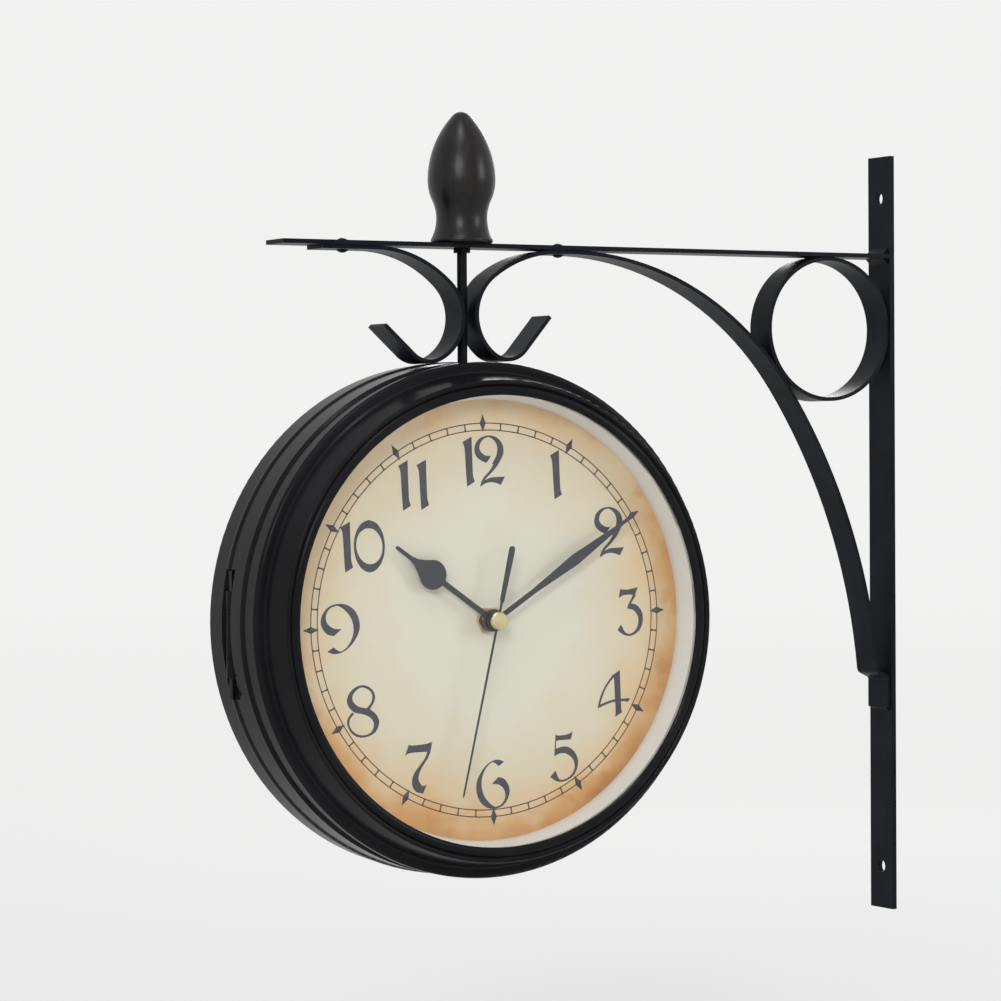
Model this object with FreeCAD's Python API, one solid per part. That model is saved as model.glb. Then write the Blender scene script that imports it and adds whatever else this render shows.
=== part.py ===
"""Double sided station clock on a wrought wall bracket.

A drum with a dial on each side hangs from a flat-bar arm. The wall bar is screwed to a wall.
The rear half of the drum is a door on a vertical pin, opened to change the batteries.

Frame, in millimetres: the origin is the centre of the wall bar's back face, +X points into the
wall, +Z is up, and the front dial looks along -Y.
"""
import math
import os

import FreeCAD
import Part

V = FreeCAD.Vector
ORIGIN = V(0, 0, 0)
X_AXIS = V(1, 0, 0)
Y_AXIS = V(0, 1, 0)
Z_AXIS = V(0, 0, 1)

# ---- bracket: bars, strips and their joints ----
wall_bar_height = 360.0
bar_width = 18.0
wall_bar_thickness = 2.5
screw_hole_radius = 3.0
screw_hole_margin = 20.0

arm_below_top = 48.8
arm_thickness = 2.0
arm_length = 320.0

strip_width = 16.0
strip_thickness = 1.8
rod_from_wall = 229.5
rod_radius = 2.25
scroll_to_rod = 0.3

end_scroll_flat = 25.5
end_scroll_rivet = 12.0
end_scroll_radii = (55.3, 20.8, 12.1)
end_scroll_turns = (43.5, 111.4, 67.4)
end_scroll_kick = 19.1

brace_flat = 6.0
brace_scroll_radii = (57.3, 22.0, 11.6)
brace_scroll_turns = (37.0, 106.4, 86.5)
brace_scroll_kick = 20.2
brace_radii = (143.0, 283.0)
brace_turns = (55.0, 29.3)
foot_bend_radius = 2.2
foot_slant = 65.0
foot_length = 13.0

ring_clearance = 0.03
weld_reach = 5.0
weld_gap = 1.6
weld_width = 11.0
root_weld = 3.0
root_weld_width = 14.0

rivet_radius = 1.6
rivet_head_radius = 2.9
rivet_head_height = 1.4
hole_play = 0.05

# ---- finial, rod and nuts ----
finial_height = 59.5
finial_base_radius = 14.0
finial_neck_radius = 11.5
finial_neck_height = 11.7
finial_belly_radius = 15.3
finial_belly_height = 28.6
finial_foot_rounding = 1.5
finial_foot_sweep = 20.0
finial_crown_sweep = 43.0
finial_waist_share = 0.47
finial_rod_depth = 24.0
arm_nut_flats = 7.4
arm_nut_height = 2.0
shell_nut_height = 3.0
saddle_washer_radius = 4.3
saddle_washer_thickness = 1.2
rod_tail = 2.0
rod_hole_play = 0.3
washer_seat_play = 0.25

# ---- drum: two pressed shells ----
drum_thickness = 78.0
shell_sheet = 1.0
scroll_to_bead = 0.3
seam_depth = 44.0
seam_gap = 0.3
opening_radius = 100.0
lip_width = 4.0
lip_back = 2.2
rim_rise = 2.8
cone_rise = 4.1
shoulder_step = 4.1
shoulder_depth = 15.0
shoulder_rounding = 2.0
groove_start = 18.6
groove_end = 30.0
groove_sink = 1.2
rear_bead_rise = 0.8
rear_bead_width = 4.4
spigot_length = 2.5
spigot_overlap = 3.0
spigot_play = 0.3
spigot_sheet = 0.8

# ---- what the shells hold ----
glass_thickness = 2.0
glass_margin = 4.5
reveal_wall = 1.6
dial_sheet = 0.6
dial_play = 0.4
clip_sheet = 0.8
clip_reach = 7.8
clip_length = 10.4
clip_width_angle = 5.0
clip_angles = (45, 135, 225, 315)

# ---- quartz movements ----
movement_size = 56.0
movement_depth = 15.5
movement_corner = 3.0
washer_radius = 8.0
washer_thickness = 1.0
bush_radius = 4.0
bush_reach = 3.4
shaft_nut_flats = 11.0
shaft_nut_height = 2.3
tube_radius = 2.5
minute_shaft_radius = 1.6
second_pin_radius = 0.5
shaft_depth = 4.0
running_gap = 0.05
battery_radius = 7.1
battery_length = 50.0
battery_nub_radius = 2.7
battery_nub_length = 1.2
battery_play = 0.15
battery_wall = 1.7
knob_radius = 6.0
knob_height = 2.6
knob_stem_radius = 1.2
knob_stem_depth = 4.0
knob_place = (14.0, 10.0)
knob_grips = 8
knob_grip_radius = 0.7

# ---- hands: heights above the dial, plan sizes and the time shown ----
hand_sheet = 0.5
hour_hand_height = 4.2
hour_boss_radius = 5.0
hour_boss_height = 1.8
minute_hand_height = 6.6
minute_boss_radius = 4.1
minute_boss_height = 1.8
second_hand_height = 9.0
cap_radius = 4.0
cap_height = 1.7
boss_below_blade = 0.2

hour_length = 58.7
hour_stem_width = 2.5
hour_drop_centre = 36.5
hour_drop_radius = 6.6
hour_point_start = 49.5
hour_point_width = 1.9
minute_length = 88.0
minute_stem_width = 2.3
minute_stem_end = 24.0
minute_wide_at = 49.0
minute_wide_width = 5.2
minute_point_start = 77.5
minute_point_width = 1.5
second_length = 79.7
second_needle_width = 1.0
second_tail_start = 9.5
second_tail_end = 33.8
second_tail_width = 2.9

hour_angle = 304.8
minute_angle = 57.2
second_angle = 193.0

# ---- hinge at 9 o'clock and catch at 3 o'clock ----
hinge_sink = 2.5
hinge_drop = 4.5
hinge_pin_radius = 1.0
hinge_pin_length = 56.0
knuckle_radius = 2.3
front_knuckle_length = 8.0
rear_knuckle_length = 21.4
knuckle_gap = 0.3
notch_length = 57.0
front_notch_depth = 4.0
rear_notch_depth = 3.2
leaf_sheet = 0.8
leaf_width = 11.0
leaf_height = 46.0
catch_sheet = 0.8
catch_reach = 6.0
catch_root = 10.0
catch_angle = 5.0

# ---- worked out from the sizes above ----
arm_underside = wall_bar_height / 2 - arm_below_top
drum_half = drum_thickness / 2
lip_end = opening_radius + lip_width
rim_radius = lip_end + rim_rise
shoulder_radius = rim_radius + cone_rise
drum_radius = shoulder_radius + shoulder_step
hinge_reach = drum_radius - hinge_sink
rod_x = -rod_from_wall
wall_face = -wall_bar_thickness
arm_top = arm_underside + arm_thickness
strip_middle = arm_underside - strip_thickness / 2
scroll_offset = rod_radius + scroll_to_rod + strip_thickness / 2
seam_y = seam_depth - drum_half
inner_radius = drum_radius - shell_sheet
front_inside = inner_radius - groove_sink
dial_front = shoulder_depth + shell_sheet
dial_back = dial_front + dial_sheet
movement_front = dial_back + washer_thickness
movement_back = movement_front + movement_depth


# ---- shape helpers ----
def box(low, high):
    """Box between two corners."""
    size = V(*high) - V(*low)
    return Part.makeBox(size.x, size.y, size.z, V(*low))


def rod(radius, start, direction, length):
    """Solid cylinder."""
    return Part.makeCylinder(radius, length, V(*start), direction)


def tube(outer, inner, start, direction, length):
    """Cylinder with a bore."""
    return rod(outer, start, direction, length).cut(rod(inner, start, direction, length))


def hexagon(flats, start, direction, length, bore):
    """Hexagonal nut with a bore, its first corner along X."""
    corners = []
    for step in range(7):
        angle = math.radians(60 * step)
        reach = flats / 2 / math.cos(math.radians(30))
        if direction == Y_AXIS:
            corners.append(V(*start) + V(reach * math.cos(angle), 0, reach * math.sin(angle)))
        else:
            corners.append(V(*start) + V(reach * math.cos(angle), reach * math.sin(angle), 0))
    prism = Part.Face(Part.makePolygon(corners)).extrude(direction * length)
    return prism.cut(rod(bore, start, direction, length))


def outline(items):
    """Closed wire from points; a pair of points is an arc through the first to the second."""
    edges = []
    last = items[0]
    for item in items[1:] + [items[0]]:
        if isinstance(item, tuple):
            edges.append(Part.Arc(last, item[0], item[1]).toShape())
            last = item[1]
        else:
            edges.append(Part.LineSegment(last, item).toShape())
            last = item
    return Part.Wire(edges)


def profile_point(radius, depth):
    """Point of a drum profile: distance from the drum's axis, and depth behind the front lip."""
    return V(radius, depth - drum_half, 0)


def turned(items, angle=360):
    """Solid turned about the drum's axis from (radius, depth) points and arcs."""
    placed = []
    for item in items:
        if isinstance(item[0], tuple):
            placed.append((profile_point(*item[0]), profile_point(*item[1])))
        else:
            placed.append(profile_point(*item))
    return Part.Face(outline(placed)).revolve(ORIGIN, Y_AXIS, angle)


def at_drum(shape, side):
    """Move a piece from the drum's own frame to the clock; the rear side is turned round."""
    moved = shape.copy()
    if side == "rear":
        moved.rotate(ORIGIN, Z_AXIS, 180)
    moved.translate(V(rod_x, 0, drum_z))
    return moved


# ---- strips bent in the XZ plane ----
def strip_walk(start, heading, moves):
    """Follow lines ("line", length) and arcs ("arc", radius, turn) and list their ends."""
    place = V(start[0], 0, start[1])
    angle = math.radians(heading)
    legs = []
    for move in moves:
        along = V(math.cos(angle), 0, math.sin(angle))
        if move[0] == "line":
            end = place + along * move[1]
            legs.append(("line", place, angle, end, angle, None))
            place = end
            continue
        turn = math.radians(move[2])
        side = 1 if turn > 0 else -1
        centre = place + V(-math.sin(angle), 0, math.cos(angle)) * (side * move[1])
        end_angle = angle + turn
        end = centre - V(-math.sin(end_angle), 0, math.cos(end_angle)) * (side * move[1])
        legs.append(("arc", place, angle, end, end_angle, (centre, side * move[1])))
        place = end
        angle = end_angle
    return legs


def strip_edge(legs, offset):
    """Edges of the strip's outline at a distance to the left of its middle line."""
    edges = []
    for kind, start, start_angle, end, end_angle, bend in legs:
        first = start + V(-math.sin(start_angle), 0, math.cos(start_angle)) * offset
        last = end + V(-math.sin(end_angle), 0, math.cos(end_angle)) * offset
        if kind == "line":
            edges.append(Part.LineSegment(first, last).toShape())
            continue
        centre, radius = bend
        middle = (start_angle + end_angle) / 2
        through = centre - V(-math.sin(middle), 0, math.cos(middle)) * (radius - offset)
        edges.append(Part.Arc(first, through, last).toShape())
    return edges


def strip(legs):
    """Flat strip along a walk, centred on the bracket's middle plane."""
    half = strip_thickness / 2
    left = strip_edge(legs, half)
    right = strip_edge(legs, -half)
    cap_start = Part.LineSegment(left[0].firstVertex().Point, right[0].firstVertex().Point)
    cap_end = Part.LineSegment(left[-1].lastVertex().Point, right[-1].lastVertex().Point)
    wire = Part.Wire(Part.__sortEdges__(left + right + [cap_start.toShape(), cap_end.toShape()]))
    face = Part.Face(wire)
    face.translate(V(0, -strip_width / 2, 0))
    return face.extrude(V(0, strip_width, 0))


def curl(radii, turns, kick, side):
    """Moves of a scroll: three arcs of falling radius, then a straight free end."""
    moves = [("arc", radius, side * turn) for radius, turn in zip(radii, turns)]
    return moves + [("line", kick)]


def curl_reach(radii, turns):
    """How far a scroll goes along the arm before its strip hangs straight down."""
    first = math.radians(turns[0])
    return radii[0] * math.sin(first) + radii[1] * (1 - math.sin(first))


end_scroll_x = rod_x - scroll_offset - curl_reach(end_scroll_radii, end_scroll_turns)
brace_scroll_x = rod_x + scroll_offset + curl_reach(brace_scroll_radii, brace_scroll_turns)
brace_x = brace_scroll_x + brace_flat
rivet_places = (end_scroll_x - end_scroll_rivet, brace_scroll_x + brace_flat / 2)

end_scroll_legs = strip_walk(
    (end_scroll_x - end_scroll_flat, strip_middle), 0,
    [("line", end_scroll_flat)] + curl(end_scroll_radii, end_scroll_turns, end_scroll_kick, -1))
brace_curl_legs = strip_walk(
    (brace_scroll_x, strip_middle), 180,
    curl(brace_scroll_radii, brace_scroll_turns, brace_scroll_kick, 1))


def drum_height():
    """Height of the drum's axis: its bead lies just under the lower of the two scrolls."""
    heights = []
    for leg in (end_scroll_legs[3], brace_curl_legs[2]):
        centre = leg[5][0]
        bend = abs(leg[5][1]) + strip_thickness / 2
        reach = drum_radius + rear_bead_rise + bend + scroll_to_bead
        heights.append(centre.z - math.sqrt(reach ** 2 - (centre.x - rod_x) ** 2))
    return min(heights)


drum_z = drum_height()


# ---- bracket ----
def make_wall_bar():
    """Upright flat bar with a screw hole near each end."""
    half_height = wall_bar_height / 2
    bar = box((wall_face, -bar_width / 2, -half_height), (0, bar_width / 2, half_height))
    for height in (half_height - screw_hole_margin, screw_hole_margin - half_height):
        bar = bar.cut(rod(screw_hole_radius, (wall_face, 0, height), X_AXIS, wall_bar_thickness))
    return bar


def drill_for_rivets(shape):
    """Cut the rivets' holes through a bar or strip."""
    for place in rivet_places:
        start = (place, 0, arm_underside - strip_thickness)
        shape = shape.cut(rod(rivet_radius + hole_play, start, Z_AXIS, strip_thickness + arm_thickness))
    return shape


def make_arm_bar():
    """Level flat bar, butt-welded to the wall bar, with the rod's hole and the rivets' holes."""
    low = (wall_face - arm_length, -bar_width / 2, arm_underside)
    high = (wall_face, bar_width / 2, arm_top)
    bar = drill_for_rivets(box(low, high))
    return bar.cut(rod(rod_radius + hole_play, (rod_x, 0, arm_underside), Z_AXIS, arm_thickness))


def make_end_scroll():
    """Strip riveted under the arm's free end, curled down beside the rod."""
    return drill_for_rivets(strip(end_scroll_legs))


def foot_moves(end, heading):
    """Joggle that brings the brace's end flat onto the wall bar, then the flat foot."""
    slant = math.radians(foot_slant - 90)
    start = math.radians(heading)
    sideways = wall_face - strip_thickness / 2 - end.x
    bends = foot_bend_radius * (math.sin(slant) - math.sin(start) + math.sin(slant) + 1)
    straight = (sideways - bends) / math.cos(slant)
    return [
        ("arc", foot_bend_radius, foot_slant - 90 - heading),
        ("line", straight),
        ("arc", foot_bend_radius, -foot_slant),
        ("line", foot_length),
    ]


def brace_legs():
    """The long brace from the rivet's flat to the joggled foot on the wall bar."""
    bow = [("line", brace_flat)]
    bow += [("arc", radius, -turn) for radius, turn in zip(brace_radii, brace_turns)]
    legs = strip_walk((brace_scroll_x, strip_middle), 0, bow)
    heading = math.degrees(legs[-1][4])
    return legs + strip_walk((legs[-1][3].x, legs[-1][3].z), heading, foot_moves(legs[-1][3], heading))


brace_path = brace_legs()


def make_brace_scroll():
    """One strip: curled end beside the rod, rivet flat, bowed brace and foot."""
    back = []
    for kind, start, start_angle, end, end_angle, bend in reversed(brace_curl_legs):
        if bend is not None:
            bend = (bend[0], -bend[1])
        back.append((kind, end, end_angle - math.pi, start, start_angle - math.pi, bend))
    return drill_for_rivets(strip(back + brace_path))


def ring_radius():
    """Outer radius of the circle that touches the arm, the wall bar and the brace's first bow."""
    along = wall_face - brace_x
    bow = brace_radii[0] + strip_thickness / 2
    total = along + 2 * bow
    return total - math.sqrt(total ** 2 - along ** 2)


ring_touch = ring_radius()
ring_outer = ring_touch - ring_clearance
ring_centre = (wall_face - ring_touch, arm_underside - ring_touch)


def make_corner_ring():
    """Closed ring of strip in the corner between arm, wall bar and brace."""
    start = (ring_centre[0], -strip_width / 2, ring_centre[1])
    return tube(ring_outer, ring_outer - strip_thickness, start, Y_AXIS, strip_width)


def make_weld_beads():
    """Fillets beside each place where the ring touches, at the arm's root and at the foot."""
    half = weld_width / 2
    ring_start = (ring_centre[0], -half, ring_centre[1])
    ring_disc = rod(ring_outer, ring_start, Y_AXIS, weld_width)
    bow_centre = (brace_x, -half, strip_middle - brace_radii[0])
    bow_disc = rod(brace_radii[0] + strip_thickness / 2, bow_centre, Y_AXIS, weld_width)
    reach = 2 * weld_reach
    towards = math.atan2(bow_centre[2] - ring_centre[1], bow_centre[0] - ring_centre[0])
    contacts = (
        (math.pi / 2, box((ring_centre[0] - reach, -half, arm_underside),
                          (ring_centre[0] + reach, half, arm_underside + reach))),
        (0.0, box((wall_face, -half, ring_centre[1] - reach),
                  (wall_face + reach, half, ring_centre[1] + reach))),
        (towards, bow_disc),
    )
    beads = []
    for angle, neighbour in contacts:
        spot = (ring_centre[0] + ring_touch * math.cos(angle), -half,
                ring_centre[1] + ring_touch * math.sin(angle))
        bead = tube(weld_reach, weld_gap, spot, Y_AXIS, weld_width)
        beads += bead.cut(ring_disc).cut(neighbour).Solids
    half = root_weld_width / 2
    for height, rise in ((arm_underside, -root_weld), (arm_top, root_weld)):
        corner = [V(wall_face, -half, height), V(wall_face - root_weld, -half, height),
                  V(wall_face, -half, height + rise)]
        face = Part.Face(Part.makePolygon(corner + corner[:1]))
        beads.append(face.extrude(V(0, root_weld_width, 0)))
    foot_end = brace_path[-1][3]
    corner = [V(wall_face, -half, foot_end.z), V(wall_face - strip_thickness, -half, foot_end.z),
              V(wall_face, -half, foot_end.z - strip_thickness)]
    face = Part.Face(Part.makePolygon(corner + corner[:1]))
    beads.append(face.extrude(V(0, root_weld_width, 0)))
    return Part.makeCompound(beads)


def rivet_head(place, height, direction):
    """Domed head: a slice of a ball."""
    ball_radius = (rivet_head_radius ** 2 + rivet_head_height ** 2) / (2 * rivet_head_height)
    centre = height + direction * (rivet_head_height - ball_radius)
    ball = Part.makeSphere(ball_radius, V(place, 0, centre))
    base = height if direction > 0 else height - rivet_head_height
    return ball.common(rod(rivet_head_radius, (place, 0, base), Z_AXIS, rivet_head_height))


def make_arm_rivets():
    """Two rivets that hold the scrolls under the arm."""
    low = arm_underside - strip_thickness
    rivets = []
    for place in rivet_places:
        shank = rod(rivet_radius, (place, 0, low), Z_AXIS, arm_top - low)
        shank = shank.fuse(rivet_head(place, arm_top, 1))
        rivets.append(shank.fuse(rivet_head(place, low, -1)).removeSplitter())
    return Part.makeCompound(rivets)


# ---- finial and hanging rod ----
def circle_arc(centre, radius, first, last):
    """Arc edge in the XZ plane between two angles, in degrees from +X towards +Z."""
    spots = []
    for angle in (first, (first + last) / 2, last):
        turn = math.radians(angle)
        spots.append(V(centre[0] + radius * math.cos(turn), 0, centre[1] + radius * math.sin(turn)))
    return Part.Arc(*spots).toShape()


def make_finial():
    """Turned bud of arcs that run into each other: foot, waist, belly, crown and round tip."""
    swell = finial_belly_radius - finial_neck_radius
    climb = finial_belly_height - finial_neck_height
    both = (swell ** 2 + climb ** 2) / (2 * swell)
    waist = both * finial_waist_share
    belly = both - waist
    crown = finial_crown_sweep
    foot = finial_foot_rounding
    sweep = finial_foot_sweep
    crown_x = finial_belly_radius - crown
    rise = finial_height - finial_belly_height
    tip = (crown_x ** 2 + rise ** 2 - crown ** 2) / (2 * (rise - crown))
    tip_height = finial_height - tip
    sweep_x = finial_neck_radius + sweep
    foot_x = sweep_x - math.sqrt((sweep + foot) ** 2 - (finial_neck_height - foot) ** 2)
    foot_turn = math.degrees(math.atan2(finial_neck_height - foot, sweep_x - foot_x))
    waist_turn = math.degrees(math.asin(climb / both))
    crown_turn = math.degrees(math.atan2(tip_height - finial_belly_height, -crown_x))
    edges = [
        Part.LineSegment(ORIGIN, V(foot_x, 0, 0)).toShape(),
        circle_arc((foot_x, foot), foot, -90, foot_turn),
        circle_arc((sweep_x, finial_neck_height), sweep, 180 + foot_turn, 180),
        circle_arc((finial_neck_radius + waist, finial_neck_height), waist, 180, 180 - waist_turn),
        circle_arc((finial_belly_radius - belly, finial_belly_height), belly, -waist_turn, 0),
        circle_arc((crown_x, finial_belly_height), crown, 0, crown_turn),
        circle_arc((0, tip_height), tip, crown_turn, 90),
        Part.LineSegment(V(0, 0, finial_height), ORIGIN).toShape(),
    ]
    bud = Part.Face(Part.Wire(edges)).revolve(ORIGIN, Z_AXIS, 360)
    bud = bud.cut(rod(rod_radius + hole_play, (0, 0, 0), Z_AXIS, finial_rod_depth))
    bud.translate(V(rod_x, 0, arm_top))
    return bud


washer_floor = drum_z + inner_radius - saddle_washer_thickness
rod_bottom = washer_floor - shell_nut_height - rod_tail


def make_hanging_rod():
    """Threaded rod from inside the drum up into the finial."""
    top = arm_top + finial_rod_depth
    return rod(rod_radius, (rod_x, 0, rod_bottom), Z_AXIS, top - rod_bottom)


def make_rod_nuts():
    """Nut under the arm and nut inside the drum."""
    bore = rod_radius + hole_play
    under_arm = hexagon(arm_nut_flats, (rod_x, 0, arm_underside - arm_nut_height), Z_AXIS,
                        arm_nut_height, bore)
    in_drum = hexagon(arm_nut_flats, (rod_x, 0, washer_floor - shell_nut_height), Z_AXIS,
                      shell_nut_height, bore)
    return Part.makeCompound([under_arm, in_drum])


def make_saddle_washer():
    """Washer whose top is curved to the inside of the shell."""
    blank = tube(saddle_washer_radius, rod_radius + hole_play, (rod_x, 0, washer_floor), Z_AXIS,
                 saddle_washer_thickness)
    bowl_radius = inner_radius - washer_seat_play
    bowl = rod(bowl_radius, (rod_x, -drum_half, drum_z), Y_AXIS, drum_thickness)
    return blank.common(bowl)


# ---- drum shells ----
def lip_and_shoulder():
    """Outside of a shell from its lip to the wall: rolled lip, crease, rim, cone and shoulder."""
    lip_crown = opening_radius + lip_width / 2
    cone_end = shoulder_radius - 0.9
    wall = drum_radius
    turn = shoulder_rounding
    return [
        (opening_radius, 1.0),
        ((lip_crown, 0.0), (lip_end, 1.0)),
        (lip_end + 0.3, 1.5),
        (lip_end + 0.6, 1.0),
        ((rim_radius - 1.1, 0.3), (rim_radius, 1.4)),
        (cone_end, shoulder_depth - 0.9),
        (shoulder_radius, shoulder_depth),
        (wall - turn, shoulder_depth),
        ((wall - turn * 0.293, shoulder_depth + turn * 0.293), (wall, shoulder_depth + turn)),
    ]


def inside_of_shoulder():
    """Inside of a shell from the wall back to the lip, one sheet behind the outside."""
    corner = shoulder_rounding - shell_sheet
    return [
        (inner_radius, dial_front + corner),
        (inner_radius - corner, dial_front),
        (shoulder_radius - shell_sheet, dial_front),
        (shoulder_radius - 1.9 * shell_sheet, dial_front - 0.9 * shell_sheet),
        (rim_radius - shell_sheet, lip_back),
        (opening_radius, lip_back),
    ]


def hinge_notch(low_y, high_y):
    """Window in a shell's edge around the hinge."""
    low = (-drum_radius - 2 * rear_bead_rise, low_y, -hinge_drop - notch_length / 2)
    high = (-drum_radius / 2, high_y, -hinge_drop + notch_length / 2)
    return box(low, high)


def make_front_shell():
    """Front pressing: lip, cone, shoulder, groove, and a spigot cut away at hinge and rod."""
    floor = drum_radius - groove_sink
    under_floor = floor - shell_sheet
    spigot_outer = inner_radius - spigot_play
    spigot_inner = spigot_outer - spigot_sheet
    profile = lip_and_shoulder() + [
        (drum_radius, groove_start),
        (floor, groove_start + groove_sink),
        (floor, groove_end - groove_sink),
        (drum_radius, groove_end),
        (drum_radius, seam_depth),
        (spigot_outer, seam_depth),
        (spigot_outer, seam_depth + spigot_length),
        (spigot_inner, seam_depth + spigot_length),
        (spigot_inner, seam_depth - spigot_overlap),
        (inner_radius, seam_depth - spigot_overlap - spigot_play),
        (inner_radius, groove_end + shell_sheet),
        (under_floor, groove_end - groove_sink + 0.4 * shell_sheet),
        (under_floor, groove_start + groove_sink - 0.4 * shell_sheet),
    ] + inside_of_shoulder()
    shell = turned(profile)
    edge = seam_y + seam_gap
    shell = shell.cut(hinge_notch(seam_y - front_notch_depth, edge + spigot_length))
    pocket_radius = saddle_washer_radius + rod_hole_play
    pocket_top = math.sqrt(inner_radius ** 2 - pocket_radius ** 2)
    shell = shell.cut(rod(pocket_radius, (0, 0, drum_radius / 2), Z_AXIS, pocket_top - drum_radius / 2))
    hole = rod(rod_radius + rod_hole_play, (0, 0, drum_radius / 2), Z_AXIS, drum_radius)
    return shell.cut(hole)


def make_rear_shell():
    """Rear pressing, in the front's frame: the same face, a plain wall and a beaded edge."""
    depth = drum_thickness - seam_depth - seam_gap
    bead_start = depth - seam_gap - rear_bead_width
    profile = lip_and_shoulder() + [
        (drum_radius, bead_start),
        ((drum_radius + rear_bead_rise, bead_start + rear_bead_width / 2),
         (drum_radius, bead_start + rear_bead_width)),
        (drum_radius, depth),
        (inner_radius, depth),
    ] + inside_of_shoulder()
    shell = turned(profile)
    shell.rotate(ORIGIN, Z_AXIS, 180)
    shell = shell.cut(hinge_notch(seam_y, seam_y + seam_gap + rear_notch_depth))
    shell.rotate(ORIGIN, Z_AXIS, 180)
    return shell


# ---- glass, reveal ring, dial and clips ----
def make_glass():
    """Flat glass behind the lip."""
    glass_radius = opening_radius + glass_margin
    return rod(glass_radius, (0, lip_back - drum_half, 0), Y_AXIS, glass_thickness)


def make_reveal_ring():
    """Pale cylindrical wall between the glass and the dial."""
    start = lip_back + glass_thickness
    return tube(opening_radius + reveal_wall, opening_radius, (0, start - drum_half, 0), Y_AXIS,
                dial_front - start)


def make_dial():
    """Dial plate against the shoulder, with the shaft's hole."""
    radius = front_inside - dial_play
    return tube(radius, bush_radius + hole_play, (0, dial_front - drum_half, 0), Y_AXIS, dial_sheet)


def make_dial_clips(wall_inside):
    """Four L-shaped clips on the wall that press the dial against the shoulder."""
    toe = wall_inside - clip_reach
    profile = [
        (toe, dial_back),
        (wall_inside - clip_sheet, dial_back),
        (wall_inside, dial_back + clip_sheet),
        (wall_inside, dial_back + clip_length),
        (wall_inside - clip_sheet, dial_back + clip_length),
        (wall_inside - clip_sheet, dial_back + clip_sheet),
        (toe, dial_back + clip_sheet),
    ]
    clips = []
    for angle in clip_angles:
        clip = turned(profile, clip_width_angle)
        clip.rotate(ORIGIN, Y_AXIS, angle - clip_width_angle / 2)
        clips.append(clip)
    return Part.makeCompound(clips)


# ---- quartz movement and its fixings ----
def along_shaft(radius, back_depth, front_depth):
    """Cylinder on the dial's axis between two depths behind the lip."""
    return rod(radius, (0, front_depth - drum_half, 0), Y_AXIS, back_depth - front_depth)


battery_depth = movement_front + battery_play + battery_radius + (movement_depth - 2 * battery_radius) / 2
battery_height = -movement_size / 2 + battery_wall + battery_play + battery_radius


def make_movement():
    """Moulded case with the shaft's hole in front, the battery bay and the knob's hole behind."""
    half = movement_size / 2
    case = box((-half, movement_front - drum_half, -half), (half, movement_back - drum_half, half))
    uprights = []
    for edge in case.Edges:
        first, last = (vertex.Point for vertex in edge.Vertexes)
        if abs(first.y - last.y) > movement_depth / 2:
            uprights.append(edge)
    case = case.makeFillet(movement_corner, uprights)
    bay_half = battery_length / 2 + battery_nub_length + battery_play
    bay_floor = battery_depth - battery_radius - battery_play - drum_half
    bay = box((-bay_half, bay_floor, battery_height - battery_radius - battery_play),
              (bay_half, movement_back - drum_half, battery_height + battery_radius + battery_play))
    case = case.cut(bay)
    case = case.cut(along_shaft(tube_radius + hole_play, movement_front + shaft_depth + 1, movement_front))
    stem_hole = rod(knob_stem_radius + running_gap,
                    (knob_place[0], movement_back - knob_stem_depth - 1 - drum_half, knob_place[1]),
                    Y_AXIS, knob_stem_depth + 1)
    return case.cut(stem_hole)


def make_battery():
    """Round cell with its raised contact."""
    start = (-battery_length / 2, battery_depth - drum_half, battery_height)
    cell = rod(battery_radius, start, X_AXIS, battery_length)
    end = (battery_length / 2, battery_depth - drum_half, battery_height)
    return cell.fuse(rod(battery_nub_radius, end, X_AXIS, battery_nub_length)).removeSplitter()


def make_rubber_washer():
    """Soft washer between the dial and the movement."""
    ring = along_shaft(washer_radius, movement_front, dial_back)
    return ring.cut(along_shaft(bush_radius + hole_play, movement_front, dial_back))


def make_shaft_bush():
    """Brass bush of the movement, through the dial."""
    front = dial_front - bush_reach
    bush = along_shaft(bush_radius, movement_front, front)
    return bush.cut(along_shaft(tube_radius + running_gap, movement_front, front))


def make_shaft_nut():
    """Brass hexagon nut that clamps the dial."""
    start = (0, dial_front - shaft_nut_height - drum_half, 0)
    return hexagon(shaft_nut_flats, start, Y_AXIS, shaft_nut_height, bush_radius + hole_play)


def make_set_knob():
    """Setting knob with a gripped rim and a stem in the movement."""
    x, z = knob_place
    knob = rod(knob_radius, (x, movement_back + running_gap - drum_half, z), Y_AXIS, knob_height)
    for step in range(knob_grips):
        angle = 2 * math.pi * step / knob_grips
        spot = (x + knob_radius * math.cos(angle), movement_back - drum_half,
                z + knob_radius * math.sin(angle))
        knob = knob.cut(rod(knob_grip_radius, spot, Y_AXIS, knob_height + 1))
    stem_start = movement_back - knob_stem_depth - drum_half
    stem = rod(knob_stem_radius, (x, stem_start, z), Y_AXIS, knob_stem_depth + knob_height / 2)
    return knob.fuse(stem).removeSplitter()


# ---- hands ----
def blade(points, height):
    """Flat hand from a half outline of (along, half width), mirrored, standing at 12 o'clock."""
    front = dial_front - height - hand_sheet - drum_half
    right = [V(across, front, along) for along, across in points]
    left = [V(-across, front, along) for along, across in reversed(points) if across > 0]
    corners = right + left
    return Part.Face(Part.makePolygon(corners + corners[:1])).extrude(V(0, hand_sheet, 0))


def set_to(shape, angle):
    """Turn a hand clockwise from 12 o'clock, as its own face is seen."""
    shape.rotate(ORIGIN, Y_AXIS, angle)
    return shape


def boss_depths(height, boss_height):
    """Depths of a boss's back and front, from its hand's height above the dial."""
    back = dial_front - height + boss_below_blade
    return back, back - boss_height


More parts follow.
